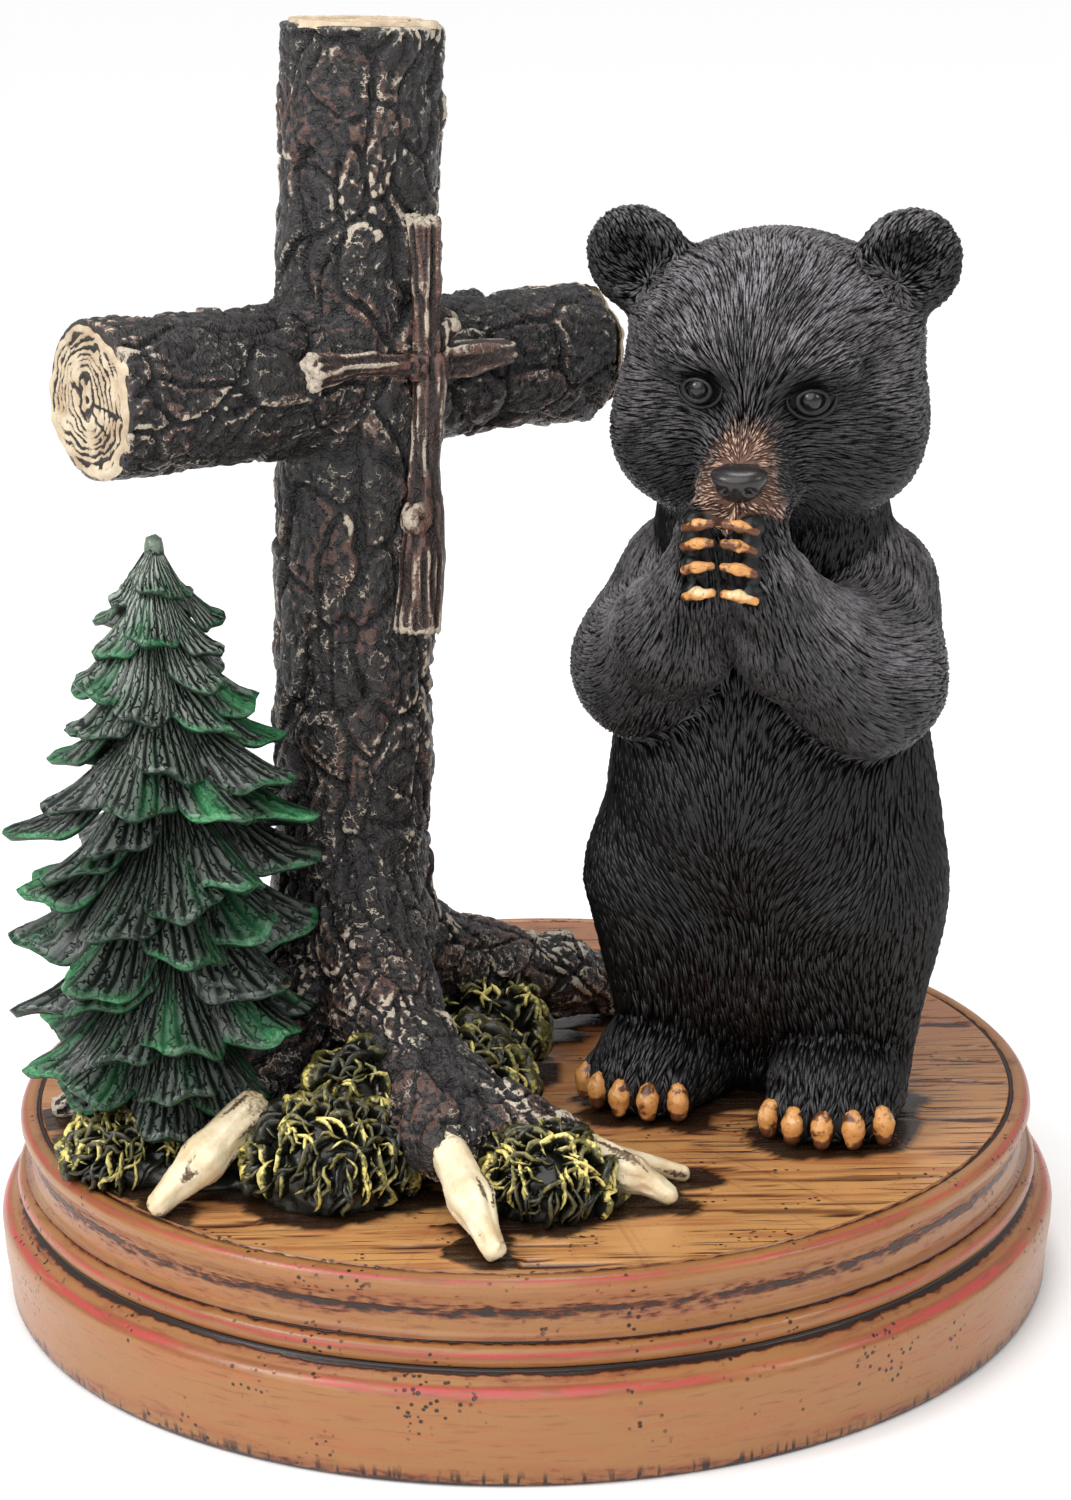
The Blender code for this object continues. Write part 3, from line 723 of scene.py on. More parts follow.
class Finish(Wiring):
    """One material: a Principled shader and what feeds it."""

    def __init__(self, name: str, colour: Colour, roughness: float) -> None:
        """Start a material with its plain colour and roughness.

        Args:
            name: The material's name.
            colour: Its plain colour.
            roughness: Its plain roughness.
        """
        self.material = bpy.data.materials.new(name)
        self.material.use_nodes = True
        super().__init__(self.material.node_tree)
        self.shader = self.tree.nodes["Principled BSDF"]
        self.put("Base Color", colour)
        self.put("Roughness", roughness)
        self.material.diffuse_color = (*colour, 1.0)

    def put(self, socket: str, value: Any) -> None:
        """Feed one of the shader's sockets."""
        self.feed(self.shader.inputs[socket], value)

    def brushed(self, tone_scale: float, grain_scale: float) -> tuple[Socket, Socket]:
        """Place the brushed effect.

        Args:
            tone_scale: How fine its tone is.
            grain_scale: How fine its grain is.

        Returns:
            Its tone and its grain.
        """
        feeds = {"Tone Scale": tone_scale, "Grain Scale": grain_scale}
        made = self.add("ShaderNodeGroup", feeds, node_tree=brushed_effect()).outputs
        return made["Tone"], made["Grain"]

    def dry_brush(self, raised: Socket, **feeds: float) -> Socket:
        """Place the dry-brush effect.

        Args:
            raised: The height that it brushes.
            feeds: The effect's other inputs, named in lower case.

        Returns:
            Its mask.
        """
        named = {"Raised": raised}
        named |= {name.replace("_", " ").title(): value for name, value in feeds.items()}
        return self.add("ShaderNodeGroup", named, node_tree=dry_brush_effect()).outputs[0]


def in_scene(name: str, data: bpy.types.ID) -> bpy.types.Object:
    """Make an object and link it to the scene.

    Args:
        name: Its name.
        data: Its mesh, camera or light.

    Returns:
        The object.
    """
    thing = bpy.data.objects.new(name, data)
    bpy.context.scene.collection.objects.link(thing)
    return thing


def piece(name: str, skin: Skin, material: bpy.types.Material, node: str | None = None) -> None:
    """Make a surface an object of the model that rides on the figurine's one body.

    Args:
        name: The piece's name.
        skin: Its surface in millimetres.
        material: Its finish.
        node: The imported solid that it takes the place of, if any.
    """
    mesh = bpy.data.meshes.new(name)
    mesh.from_pydata((skin.points * MM).tolist(), [], skin.faces.tolist())
    for mark, values in skin.marks.items():
        mesh.attributes.new(mark, "FLOAT", "POINT").data.foreach_set("value", values.astype(np.float32))
    mesh.materials.append(material)
    mesh.shade_smooth()
    thing = in_scene(name, mesh)
    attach(thing, "root")
    if node is not None:
        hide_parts(node)
    LOG.info("%s: %d triangles", name, (skin.faces.shape[1] - 2) * len(skin.faces))


# Finishes.


@dataclass(frozen=True)
class PlinthPaint:
    """Wood-effect paint: varnished ochre with red-brown streaks, a dark wash, pits, rubbed red edges, and a
    painted highlight on the plate's front.
    """

    ochre: Colour = (0.335, 0.150, 0.050)
    # The plate is pale in front and far behind; the paler front is a painted highlight.
    pale: Colour = (0.55, 0.275, 0.098)
    honey: Colour = (0.36, 0.125, 0.044)
    far: Colour = (0.30, 0.120, 0.048)
    red_brown: Colour = (0.17, 0.040, 0.016)
    rubbed: Colour = (0.42, 0.060, 0.048)
    wash: Colour = (0.012, 0.006, 0.004)
    roughness: float = 0.24
    puddle_roughness: float = 0.22
    wrap_radius: float = 76.0

    def board(self, paint: Finish) -> Socket:
        """Colour the plate.

        Args:
            paint: The finish that the nodes go into.

        Returns:
            A colour, paler in front as a painted highlight and darker behind, with honey stripes along X.
        """
        stripe = paint.rise(paint.noise(0.5, 3.0, (0.07, 0.8, 0.8)), 0.45, 0.62)
        # Paler towards the front: a painted highlight on the plate.
        plain = paint.mix(paint.rise(paint.axes()["Y"], -50.0, 45.0), self.pale, self.far)
        return paint.mix(paint.times(stripe, 0.75), plain, self.honey)

    def material(self) -> bpy.types.Material:
        """Build the material, which reads the marks wash, rub, grain, puddle and plank.

        Returns:
            The material.
        """
        paint = Finish("plinth_wood_paint", self.ochre, self.roughness)
        grain = paint.brushed(0.06, 1.6)[1]
        plank, rub, puddle = paint.mark("plank"), paint.mark("rub"), paint.mark("puddle")
        axes = paint.axes()
        height = axes["Z"]
        along = paint.times(paint.math("ARCTAN2", axes["X"], paint.times(axes["Y"], -1.0)), self.wrap_radius)

        def wrapped(per_along: float, per_height: float, detail: float) -> Socket:
            """Give noise that runs round the side, with so many features a millimetre along it and up."""
            feeds = {"X": paint.times(along, per_along), "Y": paint.times(height, per_height)}
            return paint.noise(1.0, detail, spot=paint.add("ShaderNodeCombineXYZ", feeds).outputs[0])

        sweep, fibre = wrapped(0.05, 0.55, 3.0), wrapped(0.12, 2.4, 2.0)
        side = paint.mix(paint.times(paint.rise(sweep, 0.42, 0.68), 0.8), self.ochre, self.honey)
        reddening = paint.level(paint.rise(along, 40.0, 130.0), 0.45, 0.9)
        streak = paint.times(paint.rise(wrapped(0.16, 1.5, 3.0), 0.54, 0.72), reddening)
        side = paint.mix(streak, side, self.red_brown)
        colour = paint.mix(plank, side, self.board(paint))
        halo = paint.times(paint.rise(rub, 0.02, 0.5), paint.rise(sweep, 0.32, 0.6), 0.55)
        colour = paint.mix(halo, colour, self.red_brown)
        stretch = paint.rise(wrapped(0.03, 0.1, 2.0), 0.34, 0.5)
        worn = paint.times(paint.rise(rub, 0.35, 0.75), paint.rise(fibre, 0.36, 0.52), stretch)
        colour = paint.mix(worn, colour, self.rubbed)
        pit = paint.add("ShaderNodeTexVoronoi", {"Vector": paint.place(), "Scale": 0.85}).outputs[0]
        nick = paint.times(paint.rise(pit, 0.3, 0.18), paint.rise(paint.noise(0.11, 3.0), 0.54, 0.62))
        notch = paint.times(paint.rise(wrapped(0.8, 0.12, 1.0), 0.55, 0.62), paint.rise(height, 2.8, 0.9))
        notch = paint.times(notch, paint.rise(wrapped(0.05, 0.0, 2.0), 0.34, 0.48))
        wash = paint.plus(paint.mark("wash"), paint.swing(fibre, 0.7), paint.swing(sweep),
                          paint.swing(wrapped(0.45, 1.3, 4.0), 1.6))
        line = paint.rise(paint.noise(1.0, 1.0, (0.055, 3.0, 1.0)), 0.60, 0.66)
        line = paint.times(line, paint.rise(paint.noise(0.06, 2.0), 0.4, 0.56), plank)
        line = paint.most(paint.mark("grain"), line)
        stain = paint.most(paint.times(paint.rise(wash, 0.35, 0.8), 0.85), line)
        colour = paint.mix(stain, colour, self.red_brown)
        grime = paint.most(paint.rise(wash, 0.62, 1.05), paint.times(line, 0.8), nick, notch)
        paint.put("Base Color", paint.mix(paint.times(paint.most(grime, puddle), 0.95), colour, self.wash))
        gloss = paint.level(puddle, self.roughness, self.puddle_roughness)
        paint.put("Roughness", paint.plus(gloss, paint.times(grain, 0.1)))
        paint.put("Normal", paint.bump(paint.math("SUBTRACT", paint.times(grain, 0.3), grime), 0.10))
        return paint.material


@dataclass(frozen=True)
class BarkPaint:
    """Black-brown bark, dry-brushed with red-brown and with cream on its sharpest edges."""

    name: str = "bark_paint"
    dark: Colour = (0.006, 0.005, 0.005)
    plate: Colour = (0.024, 0.020, 0.020)
    red_brown: Colour = (0.12, 0.060, 0.046)
    cream: Colour = (0.56, 0.48, 0.38)
    roughness: float = 0.33
    cover: float = 0.44

    def material(self) -> bpy.types.Material:
        """Build the material, which reads the mark raised, in millimetres.

        Returns:
            The material.
        """
        paint = Finish(self.name, self.plate, self.roughness)
        raised = paint.mark("raised")
        grain = paint.brushed(0.09, 2.2)[1]
        high = paint.plus(raised, paint.swing(grain, 0.12))
        colour = paint.mix(paint.rise(high, -0.12, 0.05), self.dark, self.plate)
        warm = paint.dry_brush(raised, least=0.02, full=0.12, fleck_scale=1.3, patch_scale=0.07,
                               cover=self.cover + 0.03)
        colour = paint.mix(paint.times(warm, 0.8), colour, self.red_brown)
        pale = paint.dry_brush(raised, least=0.06, full=0.2, fleck_scale=1.7, patch_scale=0.11,
                               cover=self.cover)
        off_line = paint.math("ABSOLUTE", paint.swing(paint.noise(0.55, 3.0)))
        curl = paint.times(paint.rise(off_line, 0.028, 0.006), paint.rise(paint.noise(0.13, 2.0), 0.47, 0.62),
                           paint.rise(raised, -0.02, 0.10))
        paint.put("Base Color", paint.mix(paint.most(pale, curl), colour, self.cream))
        paint.put("Roughness", paint.level(grain, self.roughness - 0.18, self.roughness + 0.15))
        crust = paint.plus(grain, paint.times(paint.rise(off_line, 0.07, 0.0), 0.35))
        paint.put("Normal", paint.bump(crust, 0.36))
        return paint.material


@dataclass(frozen=True)
class SawnPaint:
    """Cream sawn wood with black in its rings and cracks."""

    name: str = "sawn_paint"
    cream: Colour = (0.68, 0.57, 0.41)
    tan: Colour = (0.38, 0.25, 0.14)
    black: Colour = (0.02, 0.014, 0.01)
    roughness: float = 0.48

    def material(self) -> bpy.types.Material:
        """Build the material, which reads the mark groove, from 0 to 1.

        Returns:
            The material.
        """
        paint = Finish(self.name, self.cream, self.roughness)
        tone, grain = paint.brushed(0.22, 2.0)
        colour = paint.mix(paint.times(tone, 0.85), self.cream, self.tan)
        ragged = paint.plus(paint.mark("groove"), paint.swing(grain, 0.7))
        paint.put("Base Color", paint.mix(paint.rise(ragged, 0.3, 0.62), colour, self.black))
        paint.put("Normal", paint.bump(grain, 0.08))
        return paint.material


@dataclass(frozen=True)
class MossPaint:
    """Black moss with yellow-green brushed on its upper curls, less on mounds under the pine as painted
    shade.
    """

    dark: Colour = (0.012, 0.012, 0.008)
    olive: Colour = (0.13, 0.12, 0.03)
    yellow: Colour = (0.86, 0.72, 0.22)
    roughness: float = 0.26

    def material(self) -> bpy.types.Material:
        """Build the material, which reads the marks crest and bright, from 0 to 1.

        Returns:
            The material.
        """
        paint = Finish("moss_paint", self.dark, self.roughness)
        crest = paint.plus(paint.mark("crest"), paint.swing(paint.brushed(0.2, 2.0)[1], 0.8))
        bright = paint.mark("bright")
        olive = paint.times(paint.rise(crest, 0.6, 1.0), paint.rise(bright, 0.0, 0.35))
        colour = paint.mix(olive, self.dark, self.olive)
        fleck = paint.level(paint.rise(paint.noise(0.5, 2.0), 0.44, 0.54), 0.05, 1.0)
        lit = paint.times(paint.rise(crest, 0.6, 0.95), paint.times(bright, fleck))
        paint.put("Base Color", paint.mix(lit, colour, self.yellow))
        return paint.material


@dataclass(frozen=True)
class PinePaint:
    """Green over a black wash, with a painted grey sheen on the needles that grows towards the top as painted
    top light, and brighter on the boughs' lips and streaks.
    """

    dark: Colour = (0.005, 0.007, 0.006)
    # The needles' grey-green is partly a painted sheen.
    needle: Colour = (0.105, 0.128, 0.106)
    top_light_grey: Colour = (0.30, 0.38, 0.30)
    green: Colour = (0.022, 0.145, 0.052)
    bright: Colour = (0.09, 0.36, 0.15)
    roughness: float = 0.30
    top_light_heights: tuple[float, float] = (72.0, 116.0)

    def material(self) -> bpy.types.Material:
        """Build the material, which reads the marks needle and edge, from 0 to 1, and comb, in needles.

        Returns:
            The material.
        """
        paint = Finish("pine_paint", self.dark, self.roughness)
        tone, grain = paint.brushed(0.09, 2.4)
        grain = paint.swing(grain)
        sway = paint.swing(paint.noise(0.5, 2.0), 1.6)
        combed = paint.plus(paint.mark("comb"), paint.plus(sway, paint.times(grain, 0.4)))
        parted = paint.times(paint.rise(paint.math("PINGPONG", combed, 0.5), 0.12, 0.04), 0.7)
        needle = paint.math("SUBTRACT", paint.mark("needle"), parted)
        ragged = paint.plus(needle, paint.times(grain, 0.5))
        # Greyer towards the top: painted top light.
        painted_top_light = paint.mix(paint.rise(paint.axes()["Z"], *self.top_light_heights), self.needle, self.top_light_grey)
        colour = paint.mix(paint.rise(ragged, 0.5, 1.0), self.dark, painted_top_light)
        patch = paint.rise(tone, 0.35, 0.8)
        edge = paint.plus(paint.mark("edge"), paint.times(grain, 1.1))
        glaze = paint.times(paint.rise(edge, 0.2, 0.8), paint.level(patch, 0.45, 1.0),
                            paint.level(paint.rise(needle, 0.1, 0.6), 0.35, 1.0))
        colour = paint.mix(glaze, colour, self.green)
        lit = paint.times(paint.rise(edge, 0.75, 1.2), paint.level(patch, 0.15, 0.9))
        paint.put("Base Color", paint.mix(lit, colour, self.bright))
        paint.put("Normal", paint.bump(needle, 0.22))
        return paint.material


@dataclass(frozen=True)
class FurPaint:
    """Satin black with a painted grey sheen on the crests of the carved fur, and copper-brown on the muzzle.
    """

    black: Colour = (0.0035, 0.0032, 0.0036)
    sheen_grey: Colour = (0.30, 0.278, 0.295)
    brown: Colour = (0.105, 0.052, 0.034)
    copper: Colour = (0.98, 0.66, 0.49)
    roughness: float = 0.40
    gloss: float = 0.38

    def material(self) -> bpy.types.Material:
        """Build the material, which reads the marks crest, dusted and brown, from 0 to 1.

        Returns:
            The material.
        """
        paint = Finish("bear_paint", self.black, self.roughness)
        grain = paint.brushed(0.1, 2.6)[1]
        lit = paint.rise(paint.plus(paint.mark("crest"), paint.swing(grain, 0.6)), 0.3, 1.0)
        # The grey is a painted sheen: painted highlight on the fur's crests where light falls.
        fur = paint.mix(paint.times(lit, paint.mark("painted_sheen")), self.black, self.sheen_grey)
        muzzle = paint.mix(lit, self.brown, self.copper)
        paint.put("Base Color", paint.mix(paint.mark("brown"), fur, muzzle))
        paint.put("Normal", paint.bump(grain, 0.05))
        paint.put("Specular IOR Level", self.gloss)
        return paint.material


@dataclass(frozen=True)
class ClawPaint:
    """Orange-tan claws with cream patches on top as painted top light, brown beneath as painted shade, and a
    brown wash.
    """

    tan: Colour = (0.64, 0.300, 0.092)
    cream: Colour = (0.84, 0.62, 0.34)
    brown: Colour = (0.12, 0.04, 0.015)
    roughness: float = 0.28

    def material(self) -> bpy.types.Material:
        """Build the material, which reads the mark cream, from 0 to 1.

        Returns:
            The material.
        """
        paint = Finish("claw_paint", self.tan, self.roughness)
        tone, grain = paint.brushed(0.45, 1.4)
        pale = paint.plus(paint.mark("cream"), paint.swing(tone))
        colour = paint.mix(paint.rise(pale, -0.5, -0.05), self.brown, self.tan)
        colour = paint.mix(paint.rise(pale, 0.35, 0.95), colour, self.cream)
        worn = paint.times(paint.rise(grain, 0.55, 0.72), 0.6)
        paint.put("Base Color", paint.mix(worn, colour, self.brown))
        return paint.material


@dataclass(frozen=True)
class GlossPaint:
    """Plain gloss over one colour, for eyes and nose."""

    name: str = "gloss_black"
    colour: Colour = (0.010, 0.009, 0.009)
    roughness: float = 0.16

    def material(self) -> bpy.types.Material:
        """Build the material, with a faint unevenness in its gloss.

        Returns:
            The material.
        """
        paint = Finish(self.name, self.colour, self.roughness)
        grain = paint.brushed(0.3, 3.0)[1]
        paint.put("Roughness", paint.level(grain, self.roughness * 0.7, self.roughness * 1.5))
        paint.put("Normal", paint.bump(grain, 0.02))
        return paint.material


# The plinth.


@dataclass
class Plinth:
    """The round plinth: a turned band, bead, cove and rim around a grained plate."""

    radius: float = 76.0
    band_height: float = 13.6
    band_round: float = 2.2
    groove_radius: float = 72.4
    bead_radius: float = 73.4
    bead_foot: float = 15.4
    bead_head: float = 18.6
    cove_radius: float = 71.3
    rim_radius: float = 72.6
    rim_round: float = 1.7
    ring_radius: float = 69.8
    ring_width: float = 0.9
    ring_depth: float = 0.6
    sides: int = 288
    grain_step: float = 0.5
    grain_columns: int = 108
    grain_depth: float = 0.28
    puddle_height: float = 0.3
    wobble: float = 0.0016

    def profile(self) -> Array:
        """Draw the outline from the plate's rim down to the underside, with wash and rub at each point.

        Returns:
            Rows of (radius, height, wash, rub).
        """
        top = PLATE
        rows = [
            (self.ring_radius - self.ring_width / 2, top, 0.15, 0.0),
            (self.ring_radius - 0.15, top - self.ring_depth, 1.4, 0.0),
            (self.ring_radius + 0.15, top - self.ring_depth, 1.4, 0.0),
            (self.ring_radius + self.ring_width / 2, top, 0.2, 0.1),
        ]
        for share in np.linspace(0.0, 1.0, 6):
            angle = math.radians(90.0 * (1.0 - share))
            out = self.rim_radius - self.rim_round * (1 - math.cos(angle))
            height = top - self.rim_round * (1 - math.sin(angle))
            rows.append((out, height, 0.1, 0.75 * math.exp(-((share - 0.45) ** 2) / 0.05)))
        for share in np.linspace(0.0, 1.0, 7)[1:]:
            height = (top - self.rim_round) + (self.bead_head + 0.9 - top + self.rim_round) * share
            drawn_in = (self.rim_radius - self.cove_radius) * math.sin(math.pi * min(share, 0.62) / 1.24)
            wash = 0.25 + 0.75 * math.exp(-((share - 0.5) ** 2) / 0.03)
            rows.append((self.rim_radius - drawn_in + 0.25 * max(share - 0.62, 0.0), height, wash, 0.1))
        rows += [
            (self.groove_radius - 0.1, self.bead_head + 0.45, 0.2, 0.5),
            (self.groove_radius - 0.9, self.bead_head + 0.05, 1.3, 0.0),
            (self.groove_radius - 0.3, self.bead_head - 0.25, 0.5, 0.2),
        ]
        middle, half = (self.bead_foot + self.bead_head) / 2, (self.bead_head - self.bead_foot) / 2
        for angle in np.radians(np.linspace(62, -62, 7)):
            rub = 0.8 * math.exp(-((math.degrees(angle) - 20) ** 2) / 500)
            reach = self.bead_radius - 1.3 * (1 - math.cos(angle))
            rows.append((reach, middle + half * 0.92 * math.sin(angle), 0.1, rub))
        rows += [
            (self.groove_radius - 0.1, self.bead_foot + 0.05, 1.4, 0.0),
            (self.groove_radius + 0.1, self.bead_foot - 0.5, 1.5, 0.0),
            (self.groove_radius + 1.2, self.bead_foot - 0.75, 0.5, 0.3),
        ]
        for share in np.linspace(0.0, 1.0, 6):
            angle = math.radians(80.0 * (1.0 - share))
            out = self.radius - self.band_round * (1 - math.cos(angle)) - 0.05
            height = self.band_height - 1.7 + self.band_round * math.sin(angle) - 0.1
            rows.append((out, height, 0.1, 0.95 * math.exp(-((share - 0.4) ** 2) / 0.08)))
        for share in np.linspace(0.0, 1.0, 9)[1:]:
            height = self.band_height - self.band_round - (self.band_height - self.band_round - 1.0) * share
            rows.append((self.radius - share, height, 0.05 + 0.5 * share**6, 0.35 * share**4))
        rows += [
            (self.radius - 1.35, 0.35, 0.9, 0.1),
            (self.radius - 1.9, 0.0, 0.9, 0.0),
            (self.radius - 12.0, 0.0, 0.3, 0.0),
            (0.01, 0.0, 0.3, 0.0),
        ]
        return np.array(rows)

    def grain(self, spots: Array) -> Array:
        """Measure how deep the grain's lines are cut.

        Args:
            spots: Points of the plate.

        Returns:
            The depth at each, from 0 to 1.
        """
        x, y = spots[:, 0], spots[:, 1]
        across = y + 2.2 * soft_noise(np.stack([x * 0.022, y * 0.03, 0 * x], 1), 3)
        fine = fractal(np.stack([x * 0.045, across * 0.95, 0 * x], 1), 2, 11)
        broad = fractal(np.stack([x * 0.03, across * 0.42, 0 * x + 9.0], 1), 2, 23)
        return np.maximum(ramp(fine, 0.60, 0.82), 0.6 * ramp(broad, 0.78, 0.92))

    def plate(self, puddle: Callable[[Array], Array]) -> Skin:
        """Make the plate, its grain cut along X.

        Args:
            puddle: Gives how wet the paint is at points of the plate, from 0 to 1.

        Returns:
            The plate's surface, with the marks of the plinth.
        """
        edge = self.ring_radius - self.ring_width / 2 + 0.02
        y = np.linspace(-edge, edge, int(2 * edge / self.grain_step) + 1)
        y[0], y[-1] = -edge * 0.9999, edge * 0.9999
        half = np.sqrt(np.maximum(edge * edge - y * y, 1e-6))
        x = half[:, None] * np.linspace(-1.0, 1.0, self.grain_columns)
        flat = np.stack([x, y[:, None] + 0 * x, np.full_like(x, PLATE)], -1).reshape(-1, 3)
        inside = ramp(edge - np.hypot(flat[:, 0], flat[:, 1]), 0.0, 1.5)
        cut = self.grain(flat) * inside
        wet = puddle(flat)
        flat[:, 2] -= self.grain_depth * cut * (1.0 - 0.6 * wet)
        flat[:, 2] += self.puddle_height * wet * inside
        marks = {"wash": 0.12 + 0 * cut, "rub": 0 * cut, "grain": cut, "puddle": wet, "plank": 1.0 + 0 * cut}
        return Skin(flat, lattice(len(y), self.grain_columns), marks)

    def build(self, puddle: Callable[[Array], Array]) -> None:
        """Build the plinth, its side a little uneven, and its plate.

        Args:
            puddle: Gives how wet the paint is at points of the plate, from 0 to 1.
        """
        finish = PlinthPaint().material()
        body = turned_skin(self.profile(), self.sides, ("wash", "rub"))
        height = body.points[:, 2]
        angle = np.arctan2(body.points[:, 1], body.points[:, 0])
        wander = soft_noise(np.stack([np.cos(angle) * 5, np.sin(angle) * 5, height * 0.4], 1), 5)
        outside = ramp(height, 0.2, 1.5) * ramp(PLATE - 0.5 - height, 0.0, 1.5)
        body.points[:, :2] *= (1.0 + self.wobble * (wander - 1.0) * outside)[:, None]
        body.marks |= {name: 0 * height for name in ("grain", "puddle", "plank")}
        piece("plinth_body", body, finish, "plinth")
        piece("plinth_plate", self.plate(puddle), finish)


# The log cross.


@dataclass
class LogCross:
    """The cross of two logs on a rooted stump, with its twig cross, moss and bare root tips."""

    x: float = -25.004
    y: float = -7.98
    turn: float = math.radians(36.0)
    height: float = 150.3
    lean: float = math.radians(2.8)
    log_radius: float = 11.0
    left_radius: float = 10.7
    right_radius: float = 9.7
    bar_height: float = 103.7
    bar_left: float = 41.4
    bar_right: float = 38.6
    bar_dip: float = math.radians(1.75)
    flare_reach: float = 4.0
    flare_height: float = 10.0
    twig_above: float = 19.5
    twig_below: float = 36.3
    twig_left: float = 18.3
    twig_flatness: float = 1.25
    twig_aside: float = 3.3
    twig_lift: float = 2.4
    knot: Spot = (-2.5, 2.6, -20.3)
    bark_step: float = 2.06
    root_top: float = 30.0
    moss_strands: int = 1080
    strand_sides: int = 6
    strand_stations: int = 8
    saw_rings: int = 37
    saw_spokes: int = 108

    def __post_init__(self) -> None:
        """Work out the cross's axes."""
        side = np.array([math.cos(self.turn), math.sin(self.turn), 0.0])
        self.front = np.array([math.sin(self.turn), -math.cos(self.turn), 0.0])
        self.foot = np.array([self.x, self.y, PLATE])
        self.up = side * math.sin(self.lean) + np.array([0.0, 0.0, math.cos(self.lean)])
        self.middle = self.foot + self.up * self.bar_height / math.cos(self.lean)
        self.bar = side * math.cos(self.bar_dip) - np.array([0.0, 0.0, math.sin(self.bar_dip)])
        self.head = self.foot + self.up * self.height / math.cos(self.lean)
        self.heart = (self.middle + self.front * (self.log_radius + 0.2) + self.bar * self.twig_aside
                      + np.array([0.0, 0.0, self.twig_lift]))

    def roots(self) -> list[Knots]:
        """List the roots as knots from the upright's foot outwards."""
        return [
            [(2, -5, 30, 8.5), (6, -16, 20.0, 7.2), (11.5, -30, 12.5, 6.0), (14.5, -39, 8.5, 5.0)],
            [(11, -26, 13, 6.5), (22, -33.5, 9, 5.0), (31.0, -37, 7.0, 3.6)],
            [(-4, -6, 22, 7.5), (-10, -15, 12.5, 6.0), (-13.0, -25, 8.0, 4.6)],
            [(7, 4, 22, 7.5), (19, 14.5, 14, 6.4), (29.5, 24.5, 9.6, 5.5), (37, 32, 5.2, 4.2),
             (40.3, 34.6, 3, 2.4)],
            [(-8, -2, 18, 6.5), (-21, -6, 7.5, 5.0), (-33, -6.5, 3.4, 3.2), (-40.5, -6, 1.6, 1.5)],
            [(-7, 6, 18, 6.0), (-21, 11, 9.0, 4.6), (-34.5, 12.5, 4.0, 2.6)],
            [(0, 8, 22, 7.0), (-1, 24, 10, 5.2), (2, 37, 4, 3.2)],
        ]

    def peeled(self) -> list[Knots]:
        """List the bare root tips as knots like the roots'."""
        return [
            [(14.9, -41.5, 9.0, 2.5), (17.9, -50.5, 5.6, 2.8), (20.9, -58.6, 1.9, 1.5)],
            [(32.5, -38, 7.0, 2.5), (38.5, -40.4, 4.6, 2.3), (43.6, -42.0, 1.9, 1.4)],
            [(34.5, -35, 5.4, 1.6), (46, -33.5, 1.4, 1.0)],
            [(-11.6, -31.5, 10.5, 2.7), (-17.5, -37.5, 6.2, 2.9), (-23.0, -42.2, 2.0, 1.7)],
        ]

    def mounds(self) -> list[tuple[Spot, Spot, float]]:
        """List the mossy mounds as (centre, radii, how bright), placed from the upright's foot; those under
        the pine are dimmer as painted shade.
        """
        return [
            ((-0.5, -35.0, 3.0), (10.5, 9.0, 9.5), 1.0),
            ((28.0, -40.5, 2.0), (8.6, 7.0, 8.0), 0.9),
            ((-28.0, -25.0, 1.5), (8.5, 8.0, 6.5), 0.45),
            ((19.5, 8.0, 4.0), (7.5, 8.0, 10.5), 0.8),
            ((3.0, -29.5, 11.0), (5.5, 5.5, 7.0), 0.8),
            ((17.5, -12.0, 4.0), (7.5, 12.0, 9.0), 0.7),
            ((-15.0, -19.0, -2.0), (23.0, 17.0, 8.5), 0.0),
        ]

    def from_foot(self, knots: Knots) -> Knots:
        """Move knots from the upright's foot to the model's places."""
        return [(x + self.x, y + self.y, z + PLATE, radius) for x, y, z, radius in knots]

    def upright(self, points: Array) -> Array:
        """Measure to the upright with its flared foot."""
        mass = sawn_log(points, self.foot - self.up * 10.0, self.head, self.log_radius)
        return mass - self.flare_reach * np.exp(-np.maximum(points[:, 2] - PLATE, 0.0) / self.flare_height)

    def crossbar(self, points: Array) -> Array:
        """Measure to the crossbar, which tapers from left to right.

        Args:
            points: Points, one a row.

        Returns:
            The distance at each point.
        """
        start, end = self.middle - self.bar * self.bar_left, self.middle + self.bar * self.bar_right
        along = np.clip((points - start) @ self.bar / (self.bar_left + self.bar_right), 0.0, 1.0)
        return sawn_log(points, start, end, self.left_radius) + (self.left_radius - self.right_radius) * along

    def limbs(self) -> list[tuple[Distance, Array]]:
        """List what bark covers.

        Returns:
            Each limb's distance and the way its grain runs: the upright, the crossbar and the roots.
        """
        parts = [(self.upright, self.up), (self.crossbar, self.bar)]
        for root in map(self.from_foot, self.roots()):
            way = unit(np.array(root[-1][:3]) - np.array(root[0][:3]))
            parts.append((partial(chain, knots=root, width=3.0), way))
        return parts

    def wood(self, points: Array) -> Array:
        """Measure to logs and roots together.

        Args:
            points: Points, one a row.

        Returns:
            The distance at each point.
        """
        mass = merge(self.upright(points), self.crossbar(points), 3.0)
        for root in map(self.from_foot, self.roots()):
            mass = merge(mass, chain(points, root, 3.0), 4.0)
        return np.maximum(mass, PLATE + 0.05 - points[:, 2])

    def moss(self, points: Array) -> Array:
        """Measure to the mounds together."""
        lumps = [ball(points, self.foot + centre, radii) for centre, radii, _ in self.mounds()]
        return np.maximum(reduce(lambda a, b: merge(a, b, 2.0), lumps), PLATE + 0.05 - points[:, 2])

    def footprint(self, points: Array) -> Array:
        """Measure to everything of the cross that meets the plate."""
        tips = [chain(points, self.from_foot(knots), 1.5) for knots in self.peeled()]
        return np.minimum.reduce([self.wood(points), self.moss(points), *tips])

